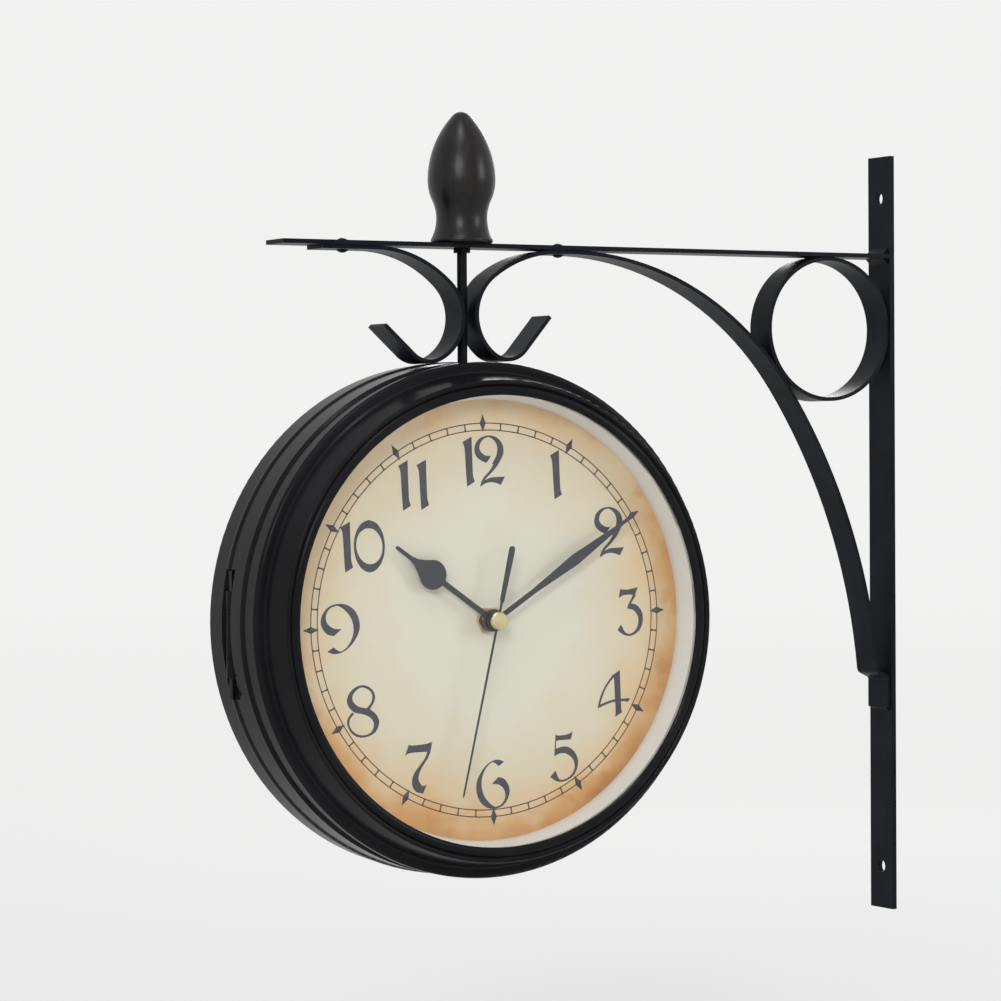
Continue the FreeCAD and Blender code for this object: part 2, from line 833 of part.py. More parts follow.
def drop_outline():
    """Half outline of the hour hand: stem, drop and long point."""
    stem = hour_stem_width / 2
    point = hour_point_width / 2
    shape = [(0, stem)]
    steps = 10
    start = 180 - math.degrees(math.asin(stem / hour_drop_radius))
    end = 48.0
    for step in range(steps + 1):
        angle = math.radians(start + (end - start) * step / steps)
        shape.append((hour_drop_centre + hour_drop_radius * math.cos(angle),
                      hour_drop_radius * math.sin(angle)))
    last_along, last_across = shape[-1]
    for share in (0.3, 0.65):
        along = last_along + (hour_point_start - last_along) * share
        shape.append((along, point + (last_across - point) * (1 - share) ** 1.6))
    shape.append((hour_point_start, point))
    shape.append((hour_length - point, point * 0.9))
    shape.append((hour_length - point * 0.3, point * 0.6))
    shape.append((hour_length, point * 0.1))
    return shape


def lance_outline():
    """Half outline of the minute hand: stem, lance and long point."""
    stem = minute_stem_width / 2
    wide = minute_wide_width / 2
    point = minute_point_width / 2
    return [
        (0, stem),
        (minute_stem_end, stem),
        (minute_wide_at - 1.5, wide * 0.96),
        (minute_wide_at, wide),
        (minute_wide_at + 2.5, wide * 0.93),
        (minute_point_start, point),
        (minute_length - 6 * point, point * 1.15),
        (minute_length, 0.05),
    ]


def needle_outline():
    """Half outline of the second hand's needle, from the centre to the tip."""
    half = second_needle_width / 2
    return [(0, half), (second_length - 1, half * 0.7), (second_length, 0.05)]


def tail_outline():
    """Half outline of the second hand's counterweight, before it is turned to the other side."""
    half = second_tail_width / 2
    needle = second_needle_width / 2
    return [
        (0, needle),
        (second_tail_start - 1.8, needle),
        (second_tail_start, half * 0.72),
        (second_tail_end - half, half),
        (second_tail_end - half * 0.4, half * 0.85),
        (second_tail_end, half * 0.35),
    ]


def make_hour_hand():
    """Hour hand, its boss and its tube inside the bush."""
    back, front = boss_depths(hour_hand_height, hour_boss_height)
    hand = blade(drop_outline(), hour_hand_height).fuse(along_shaft(hour_boss_radius, back, front))
    hand = hand.fuse(along_shaft(tube_radius, movement_front + shaft_depth, back))
    bore = along_shaft(minute_shaft_radius + running_gap, movement_front + shaft_depth, front)
    return set_to(hand.cut(bore).removeSplitter(), hour_angle)


def make_minute_hand():
    """Minute hand, its boss and its shaft inside the hour tube."""
    back, front = boss_depths(minute_hand_height, minute_boss_height)
    hand = blade(lance_outline(), minute_hand_height).fuse(along_shaft(minute_boss_radius, back, front))
    hand = hand.fuse(along_shaft(minute_shaft_radius, movement_front + shaft_depth, back))
    bore = along_shaft(second_pin_radius + running_gap, movement_front + shaft_depth, front)
    return set_to(hand.cut(bore).removeSplitter(), minute_angle)


def make_second_hand():
    """Second hand with its counterweight and its pin inside the minute shaft."""
    needle = blade(needle_outline(), second_hand_height)
    tail = blade(tail_outline(), second_hand_height)
    tail.rotate(ORIGIN, Y_AXIS, 180)
    back = dial_front - second_hand_height
    pin = along_shaft(second_pin_radius, movement_front + shaft_depth, back - hand_sheet)
    return set_to(needle.fuse(tail).fuse(pin).removeSplitter(), second_angle)


def make_hand_cap():
    """Brass cap on the second hand's centre."""
    back = dial_front - second_hand_height - hand_sheet
    cap = along_shaft(cap_radius, back, back - cap_height)
    rim = [edge for edge in cap.Edges if abs(edge.CenterOfMass.y + drum_half - back + cap_height) < 0.01]
    return cap.makeChamfer(cap_height / 4, rim[:1])


# ---- hinge and catch ----
hinge_y = seam_y + seam_gap / 2


def curved_leaf(low_y, high_y, low_z, high_z):
    """Piece of leaf curved to the inside of the wall at 9 o'clock."""
    sheet = tube(inner_radius, inner_radius - leaf_sheet, (0, -drum_half, 0), Y_AXIS, drum_thickness)
    return sheet.common(box((-drum_radius, low_y, low_z), (0, high_y, high_z)))


def knuckle(low_z, length):
    """Rolled knuckle around the pin."""
    return rod(knuckle_radius, (-hinge_reach, hinge_y, low_z), Z_AXIS, length)


def pin_bore():
    """Clearance around the pin through every knuckle."""
    return rod(hinge_pin_radius + running_gap, (-hinge_reach, hinge_y, -hinge_drop - notch_length), Z_AXIS,
               2 * notch_length)


def hinge_leaf(low_y, high_y, tongue_low, tongue_high, knuckles):
    """Leaf on the wall, with a tongue out to each of its knuckles."""
    half = leaf_height / 2
    leaf = curved_leaf(low_y, high_y, -hinge_drop - half, -hinge_drop + half)
    for low_z, length in knuckles:
        leaf = leaf.fuse(curved_leaf(tongue_low, tongue_high, low_z, low_z + length))
        leaf = leaf.fuse(knuckle(low_z, length))
    return leaf.cut(pin_bore()).removeSplitter()


def make_front_hinge_leaf():
    """Fixed leaf with the two outer knuckles."""
    inner = rear_knuckle_length / 2 + knuckle_gap
    knuckles = ((-hinge_drop + inner, front_knuckle_length),
                (-hinge_drop - inner - front_knuckle_length, front_knuckle_length))
    edge = seam_y - front_notch_depth
    root = seam_y - spigot_overlap - spigot_play
    low_y = min(edge, root) - leaf_width + front_notch_depth
    return hinge_leaf(low_y, min(edge, root), min(edge, root), hinge_y, knuckles)


def make_rear_hinge_leaf():
    """Moving leaf with the middle knuckle."""
    edge = seam_y + seam_gap + rear_notch_depth
    knuckles = ((-hinge_drop - rear_knuckle_length / 2, rear_knuckle_length),)
    return hinge_leaf(edge, edge + leaf_width, hinge_y, edge, knuckles)


def make_hinge_pin():
    """Upright pin through the knuckles, showing at both ends of the window."""
    return rod(hinge_pin_radius, (-hinge_reach, hinge_y, -hinge_drop - hinge_pin_length / 2), Z_AXIS,
               hinge_pin_length)


def make_door_catch():
    """Spring leaf inside the seam at 3 o'clock that holds the door by friction."""
    spigot_inner = inner_radius - spigot_play - spigot_sheet
    inside = spigot_inner - catch_sheet
    crest = seam_depth + (spigot_length + catch_reach) / 2
    bulge = spigot_sheet
    profile = [
        (inside, seam_depth - catch_root),
        (spigot_inner, seam_depth - catch_root),
        (spigot_inner, seam_depth + spigot_length),
        (spigot_inner + bulge, crest),
        (spigot_inner, seam_depth + catch_reach),
        (inside, seam_depth + catch_reach),
        (inside + bulge, crest),
        (inside, seam_depth + spigot_length),
    ]
    leaf = turned(profile, catch_angle)
    leaf.rotate(ORIGIN, Y_AXIS, -catch_angle / 2)
    return leaf


# ---- assembly ----
pieces = {
    "wall_bar": make_wall_bar(),
    "arm_bar": make_arm_bar(),
    "end_scroll": make_end_scroll(),
    "brace_scroll": make_brace_scroll(),
    "corner_ring": make_corner_ring(),
    "weld_beads": make_weld_beads(),
    "arm_rivets": make_arm_rivets(),
    "finial": make_finial(),
    "hanging_rod": make_hanging_rod(),
    "rod_nuts": make_rod_nuts(),
    "saddle_washer": make_saddle_washer(),
    "front_shell": at_drum(make_front_shell(), "front"),
    "rear_shell": at_drum(make_rear_shell(), "rear"),
    "front_hinge_leaf": at_drum(make_front_hinge_leaf(), "front"),
    "rear_hinge_leaf": at_drum(make_rear_hinge_leaf(), "front"),
    "hinge_pin": at_drum(make_hinge_pin(), "front"),
    "door_catch": at_drum(make_door_catch(), "front"),
}
for side, wall_inside in (("front", front_inside), ("rear", inner_radius)):
    face_pieces = {
        "glass": make_glass(),
        "reveal_ring": make_reveal_ring(),
        "dial": make_dial(),
        "dial_clips": make_dial_clips(wall_inside),
        "movement": make_movement(),
        "battery": make_battery(),
        "rubber_washer": make_rubber_washer(),
        "shaft_bush": make_shaft_bush(),
        "shaft_nut": make_shaft_nut(),
        "set_knob": make_set_knob(),
        "hour_hand": make_hour_hand(),
        "minute_hand": make_minute_hand(),
        "second_hand": make_second_hand(),
        "hand_cap": make_hand_cap(),
    }
    for name, shape in face_pieces.items():
        pieces[side + "_" + name] = at_drum(shape, side)

os.makedirs("parts", exist_ok=True)
for name, shape in pieces.items():
    if not shape.isValid():
        print("not valid:", name)
    shape.exportStep(os.path.join("parts", name + ".step"))
    print("%-22s %2d solids  %9.1f mm3" % (name, len(shape.Solids), shape.Volume))
print("drum axis height %.2f, corner ring outer radius %.2f" % (drum_z, ring_outer))
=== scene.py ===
"""Looks of a double sided station clock on a wrought wall bracket.

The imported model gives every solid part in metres. This file gives the parts their finishes, prints
both dials and sets the stage: floor, lamps and camera.
"""

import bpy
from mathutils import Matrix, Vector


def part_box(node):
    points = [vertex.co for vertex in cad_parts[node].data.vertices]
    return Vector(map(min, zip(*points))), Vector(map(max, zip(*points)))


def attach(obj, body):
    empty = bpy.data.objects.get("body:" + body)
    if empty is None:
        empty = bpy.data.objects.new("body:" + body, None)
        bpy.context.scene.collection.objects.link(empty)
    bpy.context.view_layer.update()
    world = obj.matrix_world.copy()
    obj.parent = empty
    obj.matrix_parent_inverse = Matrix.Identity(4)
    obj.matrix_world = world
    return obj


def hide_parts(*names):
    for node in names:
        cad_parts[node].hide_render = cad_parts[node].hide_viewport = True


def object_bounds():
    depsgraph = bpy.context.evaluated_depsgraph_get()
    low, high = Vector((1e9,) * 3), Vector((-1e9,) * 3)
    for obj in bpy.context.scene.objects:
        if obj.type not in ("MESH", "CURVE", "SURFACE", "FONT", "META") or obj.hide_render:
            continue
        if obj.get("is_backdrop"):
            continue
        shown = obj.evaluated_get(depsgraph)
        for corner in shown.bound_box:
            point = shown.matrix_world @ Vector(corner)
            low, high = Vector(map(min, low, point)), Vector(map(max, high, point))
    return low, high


bl_info = {
    "name": "Station clock looks",
    "version": (1, 0, 0),
    "blender": (4, 5, 0),
    "location": "View3D > Sidebar > Clock",
    "description": "Paint, wood, brass, glass and dial print for a double sided station clock",
    "category": "Object",
}

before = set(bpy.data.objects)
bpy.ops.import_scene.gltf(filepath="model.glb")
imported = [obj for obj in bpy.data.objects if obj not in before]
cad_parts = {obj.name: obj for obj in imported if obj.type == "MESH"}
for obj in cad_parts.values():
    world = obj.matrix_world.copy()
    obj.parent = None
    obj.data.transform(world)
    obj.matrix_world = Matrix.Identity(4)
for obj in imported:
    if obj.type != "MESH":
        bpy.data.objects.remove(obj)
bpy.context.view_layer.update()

import math

import bmesh
import bpy
from bpy.props import FloatProperty, FloatVectorProperty, IntProperty, PointerProperty
from mathutils import Matrix, Vector

MM = 0.001
SIDES = ("front", "rear")
SIDE_BODY = {"front": "bracket", "rear": "rear_door"}
FACING = {"front": 1.0, "rear": -1.0}

BRACKET_NODES = ("wall_bar", "arm_bar", "end_scroll", "brace_scroll", "corner_ring", "weld_beads",
                 "arm_rivets", "hanging_rod", "rod_nuts")
STEEL_NODES = ("saddle_washer", "door_catch", "front_dial_clips", "rear_dial_clips")

# Dial: radius that shows inside the drum's lip, how deep the print's paper goes into the board, and
# how far up the reveal from the dial its dust and painted shade reach.
VISIBLE_RADIUS = 100 * MM
PAPER_DEPTH = 0.3 * MM
DUST_SHADE_HEIGHT, DUST_SHADE_FADE = 4 * MM, 5 * MM

# Print, in shares of the ink's thickness: each kind has its own height where it crosses another.
LINE_INK, BAR_INK, MARKER_INK = 0.8, 1.0, 1.3
PRINT_LIFT = 0.62
NUMERAL_BACK = 0.12
STROKE_STEP = 0.12

# A minute bar flares where it meets the two lines; an hour marker comes to a point at both ends.
BAR_SHAPE = {"Middle Scale": 0.85, "End Scale": 1.9, "Sharpness": 4.0}
MARKER_SHAPE = {"Middle Scale": 1.0, "End Scale": 0.06, "Sharpness": 0.85}
MARKERS = 12
LINE_POINTS = 240
MARK_POINTS = 9

# Section of the reveal lining: its wall at the glass, the easing there and its foot on the dial.
LINING_WALL = 1.6 * MM
LINING_EASE, LINING_EASE_DEPTH = 0.3 * MM, 0.6 * MM
LINING_FOOT, LINING_FOOT_HEIGHT = 0.1 * MM, 0.35 * MM
RING_STEPS = 180
SHARP_EDGE = math.radians(30)

# Stage, in metres. Each lamp has its side's length, its place and its colour; its power is a setting.
# Away from the clock the floor turns from lit to glowing over FLOOR_FADE, and takes the backdrop's
# tone over FLOOR_TINT_FADE.
LAMPS = {
    "key": (0.9, (-1.9, -2.2, 1.15), (1.0, 0.995, 0.98)),
    "fill": (0.7, (1.6, -1.8, 0.7), (0.97, 0.985, 1.0)),
    "back": (1.2, (1.4, 2.1, 1.1), (1.0, 1.0, 1.0)),
    "top": (0.5, (-0.75, -0.75, 1.9), (0.90, 0.95, 1.0)),
}
FLOOR_RADIUS = 14.0
FLOOR_STEPS = 96
FLOOR_FADE = (0.6, 2.4)
FLOOR_GLOW = 0.4
FLOOR_TINT_FADE = (1.0, 8.0)
SENSOR_WIDTH = 36.0
CLIP_START, CLIP_END = 0.05, 60.0


# ---- settings that a user would change ----
def length(name, description, default, least, most):
    """Length setting in metres."""
    return FloatProperty(name=name, description=description, default=default, min=least, max=most,
                         unit="LENGTH", subtype="DISTANCE")


def turn(name, description, degrees):
    """Angle setting; its default is given in degrees."""
    return FloatProperty(name=name, description=description, default=math.radians(degrees),
                         subtype="ANGLE")


def watts(name, description, default):
    """Power setting of a lamp."""
    return FloatProperty(name=name, description=description, default=default, min=0, unit="POWER")


def tone(name, description, default):
    """Colour setting in linear light."""
    return FloatVectorProperty(name=name, description=description, default=default, size=3,
                               min=0.0, max=1.0, subtype="COLOR")


class ClockPrintSettings(bpy.types.PropertyGroup):
    """Sizes of what is printed on the dials."""

    track_radius: length("Track radius", "Radius of the outer line of the minute track",
                         87.7 * MM, 40 * MM, 99 * MM)
    track_band: length("Track band", "Distance between the two lines of the minute track",
                       3.1 * MM, 1 * MM, 10 * MM)
    line_width: length("Line width", "Width of the two lines of the minute track",
                       0.5 * MM, 0.1 * MM, 2 * MM)
    minute_width: length("Minute width", "Width of a minute bar at its middle",
                         0.75 * MM, 0.1 * MM, 3 * MM)
    marker_length: length("Hour marker length", "Length of the pointed marker at each hour",
                          7.6 * MM, 1 * MM, 20 * MM)
    marker_width: length("Hour marker width", "Width of the pointed marker at its middle",
                         3.2 * MM, 0.5 * MM, 10 * MM)
    single_radius: length("Single numeral radius", "Distance of the numerals 1 to 9 from the shaft",
                          73.4 * MM, 30 * MM, 90 * MM)
    pair_radius: length("Pair numeral radius", "Distance of 10, 11 and 12 from the shaft",
                        70.8 * MM, 30 * MM, 90 * MM)
    ink_thickness: length("Ink thickness", "How far the print stands in front of the dial",
                          0.03 * MM, 0.005 * MM, 0.2 * MM)
    front_turn: turn("Front print turn", "How far the front print is turned clockwise", -1.5)
    rear_turn: turn("Rear print turn", "How far the rear print is turned clockwise", 0.4)
    reveal_slope: length("Reveal slope", "How far the reveal ring closes in from the glass to the dial",
                         1.7 * MM, 0.0, 4 * MM)
    minutes: IntProperty(
        name="Minutes", description="Number of bars in the minute track", default=60, min=12, max=60)


class ClockFinishSettings(bpy.types.PropertyGroup):
    """Colours of the clock's finishes."""

    iron: tone("Iron paint", "Satin black of the bracket", (0.0066, 0.0080, 0.0112))
    enamel: tone("Drum enamel", "Half-gloss black of the drum", (0.0098, 0.0100, 0.0112))
    wood: tone("Finial wood", "Dark stain of the finial", (0.0026, 0.0024, 0.0027))
    wood_grain: tone("Finial grain", "Lighter streaks of the finial", (0.0105, 0.0062, 0.0055))
    dial: tone("Dial", "Cream at the middle of the dials", (0.700, 0.664, 0.560))
    dial_band: tone("Dial band", "Yellowed cream around the numerals", (0.670, 0.580, 0.425))
    dial_rim: tone("Dial rim", "Browned edge of the dials", (0.620, 0.345, 0.135))
    dial_burn: tone("Dial burn", "Deepest brown, low on the dials", (0.470, 0.180, 0.048))
    dial_blush: tone("Dial blush", "Faint pink patches on the dials", (0.70, 0.53, 0.40))
    dial_fibre: tone("Dial fibre", "Fine fibres in the dials' paper", (0.55, 0.47, 0.33))
    dial_back: tone("Dial back", "Bare grey board behind the print", (0.400, 0.392, 0.370))
    ink: tone("Numeral ink", "Slate ink of the numerals", (0.060, 0.060, 0.075))
    line_ink: tone("Line ink", "Brown ink of the minute track", (0.095, 0.064, 0.042))
    reveal: tone("Reveal", "Pale grey cream of the ring behind the glass", (0.700, 0.685, 0.650))
    # Dust tone that also paints the shade in the corner where the reveal meets the dial.
    dust_and_shade: tone("Dust", "Dust where the ring behind the glass meets the dial", (0.42, 0.36, 0.28))
    glass: tone("Glass", "Tint of what shows through the glass", (0.985, 0.99, 0.985))
    glass_shine: tone("Glass shine", "Tint of what the glass reflects", (0.95, 0.97, 1.0))
    hands: tone("Hands", "Slate black of the hands", (0.030, 0.031, 0.042))
    brass: tone("Brass", "Cap, nut and bush at the middle of the dials", (0.660, 0.560, 0.330))
    steel: tone("Zinc steel", "Clips, catch and washer", (0.560, 0.565, 0.575))
    dark_steel: tone("Dark steel", "Blackened hinge pin", (0.035, 0.036, 0.040))
    case: tone("Movement case", "Black moulded case", (0.022, 0.022, 0.024))
    knob: tone("Setting knob", "Grey moulded knob", (0.085, 0.087, 0.092))
    rubber: tone("Rubber", "Washer behind the dial", (0.020, 0.020, 0.020))
    cell: tone("Cell", "Scuffs on the battery; its wrap is a dark shade of this", (0.250, 0.262, 0.280))
    contact: tone("Contact", "Bare metal at the battery's raised contact", (0.62, 0.47, 0.26))


class ClockStageSettings(bpy.types.PropertyGroup):
    """Camera, lamps and background."""

    eye: FloatVectorProperty(
        name="Eye", description="Place of the camera", default=(-1.0237, -1.4806, 0.0375), size=3,
        unit="LENGTH", subtype="TRANSLATION")
    yaw: turn("Yaw", "Turn of the camera from +Y towards +X", 28.783)
    pitch: turn("Pitch", "Upward tilt of the camera", -0.676)
    roll: turn("Roll", "Turn of the camera about its own axis", -0.293)
    lens: FloatProperty(
        name="Lens", description="Focal length in millimetres on a 36 mm sensor", default=134.13,
        min=20, max=300)
    backdrop: tone("Backdrop", "Pale tone behind the clock", (0.885, 0.885, 0.880))
    floor: tone("Floor", "Pale floor under the clock", (0.850, 0.850, 0.845))
    floor_drop: length("Floor drop", "Distance of the floor below the clock", 0.12, 0.01, 1.0)
    ambient: FloatProperty(
        name="Ambient", description="Strength of the light from all round", default=0.55, min=0, max=1)
    key: watts("Key lamp", "Power of the soft lamp at the upper left", 31.0)
    fill: watts("Fill lamp", "Power of the soft lamp at the right", 12.0)
    back: watts("Back lamp", "Power of the soft lamp behind the clock", 22.0)
    top: watts("Top lamp", "Power of the small lamp above the bracket", 9.0)


# ---- node sheets: sockets that take part in sums ----
class Wire:
    """An output socket; sums, products and powers of it add Math nodes."""

    def __init__(self, sheet, socket):
        self.sheet = sheet
        self.socket = socket

    def math(self, operation, first, second=0.0):
        node = self.sheet.add("ShaderNodeMath", {"operation": operation}, {0: first, 1: second})
        return Wire(self.sheet, node.outputs[0])

    def __add__(self, other):
        return self.math("ADD", self, other)

    def __radd__(self, other):
        return self.math("ADD", other, self)

    def __sub__(self, other):
        return self.math("SUBTRACT", self, other)

    def __rsub__(self, other):
        return self.math("SUBTRACT", other, self)

    def __mul__(self, other):
        return self.math("MULTIPLY", self, other)

    def __rmul__(self, other):
        return self.math("MULTIPLY", other, self)

    def __pow__(self, other):
        return self.math("POWER", self, other)

    def __rpow__(self, other):
        return self.math("POWER", other, self)

    def __neg__(self):
        return self.math("MULTIPLY", self, -1.0)

    def __abs__(self):
        return self.math("ABSOLUTE", self)

    def most(self, other):
        return self.math("MAXIMUM", self, other)

    def above(self, other):
        return self.math("GREATER_THAN", self, other)

    def ramp(self, low, high):
        """0 below low, 1 above high, smooth between."""
        node = self.sheet.add("ShaderNodeMapRange", {"interpolation_type": "SMOOTHSTEP"},
                              {"Value": self, "From Min": low, "From Max": high})
        return Wire(self.sheet, node.outputs["Result"])


def shade(colour, factor):
    """A colour made darker or lighter."""
    return tuple(Vector(colour) * factor)


class Sheet:
    """The nodes of one material, world or geometry tree."""

    def __init__(self, tree):
        self.tree = tree
        tree.nodes.clear()

    def socket(self, node, key):
        """An input of a node by its number, its identifier or else its name."""
        if isinstance(key, int):
            return node.inputs[key]
        for socket in node.inputs:
            if socket.identifier == key:
                return socket
        return node.inputs[key]

    def add(self, kind, settings=None, sockets=None):
        """Add a node: its settings first, then the values or links of its sockets."""
        node = self.tree.nodes.new(kind)
        for name, value in (settings or {}).items():
            if name == "stops":
                self.set_stops(node.color_ramp, value)
            else:
                setattr(node, name, value)
        for key, value in (sockets or {}).items():
            self.feed(self.socket(node, key), value)
        return node

    def set_stops(self, ramp, stops):
        while len(ramp.elements) < len(stops):
            ramp.elements.new(1.0)
        for element, (position, colour) in zip(ramp.elements, stops):
            element.position = position
            element.color = (*colour, 1.0)

    def feed(self, socket, value):
        if isinstance(value, Wire):
            value = value.socket
        if isinstance(value, bpy.types.NodeSocket):
            self.tree.links.new(value, socket)
        elif socket.type == "RGBA" and len(value) == 3:
            socket.default_value = (*value, 1.0)
        else:
            socket.default_value = value

    def object_place(self):
        return Wire(self, self.add("ShaderNodeTexCoord").outputs["Object"])

    def moved(self, place, shift=(0, 0, 0), scale=(1, 1, 1)):
        node = self.add("ShaderNodeMapping", {"vector_type": "POINT"},
                        {"Vector": place, "Location": shift, "Scale": scale})
        return Wire(self, node.outputs["Vector"])

    def split(self, place):
        node = self.add("ShaderNodeSeparateXYZ", None, {"Vector": place})
        return tuple(Wire(self, socket) for socket in node.outputs)

    def reach(self, place):
        """Distance of a place from the origin."""
        node = self.add("ShaderNodeVectorMath", {"operation": "LENGTH"}, {0: place})
        return Wire(self, node.outputs["Value"])

    def noise(self, place, scale, detail=2.0, roughness=0.5, distortion=0.0):
        node = self.add("ShaderNodeTexNoise", {"noise_dimensions": "3D"},
                        {"Vector": place, "Scale": scale, "Detail": detail, "Roughness": roughness,
                         "Distortion": distortion})
        return Wire(self, node.outputs["Fac"])

    def mixed(self, factor, first, second):
        """Colour between two others."""
        node = self.add("ShaderNodeMix", {"data_type": "RGBA"},
                        {"Factor_Float": factor, "A_Color": first, "B_Color": second})
        return next(socket for socket in node.outputs if socket.identifier == "Result_Color")

    def varied(self, factor, colour, low, high):
        """Colour between two shades of one."""
        return self.mixed(factor, shade(colour, low), shade(colour, high))

    def stops(self, factor, stops):
        node = self.add("ShaderNodeValToRGB", {"stops": stops}, {"Fac": factor})
        return node.outputs["Color"]

    def bump(self, height, distance, strength, below=None):
        sockets = {"Height": height, "Distance": distance, "Strength": strength}
        if below is not None:
            sockets["Normal"] = below
        return self.add("ShaderNodeBump", None, sockets).outputs["Normal"]

    def blend(self, factor, first, second):
        """Shader between two others."""
        node = self.add("ShaderNodeMixShader", None, {0: factor, 1: first.outputs[0], 2: second.outputs[0]})
        return node.outputs[0]

    def surface(self, **sockets):
        """Principled surface; keys are its sockets with _ for a space."""
        names = {key.replace("_", " "): value for key, value in sockets.items()}
        shader = self.add("ShaderNodeBsdfPrincipled", None, names)
        self.finish(shader.outputs[0])

    def finish(self, shader):
        self.add("ShaderNodeOutputMaterial", None, {"Surface": shader})


def middle_of(node):
    """Middle of a CAD node's box."""
    low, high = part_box(node)
    return (low + high) / 2


def face_depth(side):
    """How far back a dial's printed face lies, seen from its own side."""
    low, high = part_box(side + "_dial")
    return min(low.y * FACING[side], high.y * FACING[side])


def new_material(name):
    """Empty material and its sheet."""
    material = bpy.data.materials.new(name)
    material.use_nodes = True
    return material, Sheet(material.node_tree)


def on_both(*parts):
    """Nodes of the same parts on both sides."""
    return [side + part for side in SIDES for part in parts]


def dress(nodes, material):
    """Give a material to CAD nodes."""
    for name in nodes:
        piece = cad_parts.get(name)
        if piece is None:
            raise RuntimeError("the model has no node " + name)
        if not piece.material_slots:
            piece.data.materials.append(material)
        for slot in piece.material_slots:
            slot.material = material


# ---- finishes ----
def iron_paint(finish):
    """Satin black brushed over wrought bar: slight hammer marks and an uneven sheen."""
    material, sheet = new_material("iron_paint")
    place = sheet.object_place()
    cloud = sheet.noise(place, 42.0, 3.0)
    grain = sheet.noise(place, 950.0, 2.0, 0.6)
    hammer = sheet.bump(sheet.noise(place, 120.0, 1.0), 0.4 * MM, 0.22)
    sheet.surface(Base_Color=sheet.varied(cloud.ramp(0.3, 0.75), finish.iron, 0.75, 1.35),
                  Roughness=0.30 + cloud * 0.10 + grain * 0.06,
                  Normal=sheet.bump(grain, 0.05 * MM, 0.4, hammer), IOR=1.45, Specular_IOR_Level=0.06)
    return material


def drum_enamel(finish):
    """Half-gloss black enamel on pressed sheet, with a fine orange peel."""
    material, sheet = new_material("drum_enamel")
    place = sheet.object_place()
    cloud = sheet.noise(place, 18.0)
    peel = sheet.noise(place, 620.0, 1.0, 0.4)
    sheet.surface(Base_Color=sheet.varied(cloud.ramp(0.35, 0.7), finish.enamel, 0.8, 1.25),
                  Roughness=0.14 + cloud * 0.07 + peel * 0.03,
                  Normal=sheet.bump(peel, 0.03 * MM, 0.35), IOR=1.45, Specular_IOR_Level=0.06)
    return material


def finial_wood(finish):
    """Dark stained hardwood with upright grain and a thin varnish."""
    material, sheet = new_material("finial_wood")
    axis = middle_of("finial")
    place = sheet.moved(sheet.object_place(), (-axis.x, -axis.y, 0))
    streak = sheet.noise(sheet.moved(place, scale=(1, 1, 0.055)), 330.0, 4.0, 0.65, 0.4)
    pores = sheet.noise(sheet.moved(place, scale=(1, 1, 0.03)), 1500.0, 2.0, 0.6)
    mask = streak.ramp(0.42, 0.72)
    colour = sheet.mixed(mask, finish.wood, finish.wood_grain)
    colour = sheet.mixed(pores.ramp(0.62, 0.8) * 0.6, colour, shade(finish.wood, 0.4))
    sheet.surface(Base_Color=colour, Roughness=0.31 + mask * 0.1, Coat_Weight=0.06,
                  Coat_Roughness=0.28, Normal=sheet.bump(streak + pores * 0.4, 0.12 * MM, 0.5),
                  IOR=1.45, Specular_IOR_Level=0.3)
    return material


def dial_paper(finish, side):
    """Aged dial: cream in the middle, yellow round the numerals, browned at the edge."""
    material, sheet = new_material("dial_paper_" + side)
    middle, facing = middle_of(side + "_dial"), FACING[side]
    flat = sheet.moved(sheet.object_place(), (-middle.x * facing, 0, -middle.z), (facing, 0, 1))
    across, _, up = sheet.split(flat)
    behind = sheet.split(sheet.object_place())[1] * facing - face_depth(side)
    reach = sheet.reach(flat) * (1 / VISIBLE_RADIUS)
    patches = sheet.noise(flat, 24.0, 3.0, 0.55)
    stains = sheet.noise(sheet.moved(flat, (0.31, 0, 0.17)), 62.0, 3.0, 0.6)
    down_right = across * 3.5 - up * 7.0
    age = reach + down_right * 0.12 * reach + (patches - 0.5) * 0.42 + (stains - 0.5) * 0.2
    colour = sheet.stops(age * 0.8, [
        (0.0, finish.dial),
        (0.36, shade(finish.dial, 0.985)),
        (0.60, finish.dial_band),
        (0.715, (Vector(finish.dial_band) * 1.1 + Vector(finish.dial_rim)) / 2),
        (0.80, finish.dial_rim),
        (0.91, finish.dial_burn),
    ])
    scorch = sheet.noise(sheet.moved(flat, (-0.2, 0, 0.5), (1, 1, 1.6)), 34.0, 3.0, 0.6, 0.6)
    mask = scorch.ramp(0.5, 0.66) * (reach + down_right * 0.1).ramp(0.84, 1.02) * 0.5
    colour = sheet.mixed(mask, colour, shade(finish.dial_burn, 1.05))
    blush = sheet.noise(sheet.moved(flat, (0.7, 0, -0.4)), 30.0)
    colour = sheet.mixed(blush.ramp(0.5, 0.75) * 0.16, colour, finish.dial_blush)
    fibre = sheet.noise(flat, 1400.0, 2.0, 0.6)
    colour = sheet.mixed(0.05 * fibre, colour, finish.dial_fibre)
    colour = sheet.mixed(behind.above(PAPER_DEPTH), colour, finish.dial_back)
    sheet.surface(Base_Color=colour, Roughness=0.52 + fibre * 0.1,
                  Normal=sheet.bump(fibre, 0.01 * MM, 0.2), IOR=1.45, Specular_IOR_Level=0.3)
    return material


def printed_ink(name, colour):
    """Flat ink with a slightly uneven cover."""
    material, sheet = new_material(name)
    cover = sheet.noise(sheet.object_place(), 260.0)
    sheet.surface(Base_Color=sheet.varied(cover.ramp(0.3, 0.7), colour, 0.88, 1.16),
                  Roughness=0.5 + cover * 0.1, IOR=1.45, Specular_IOR_Level=0.3)
    return material


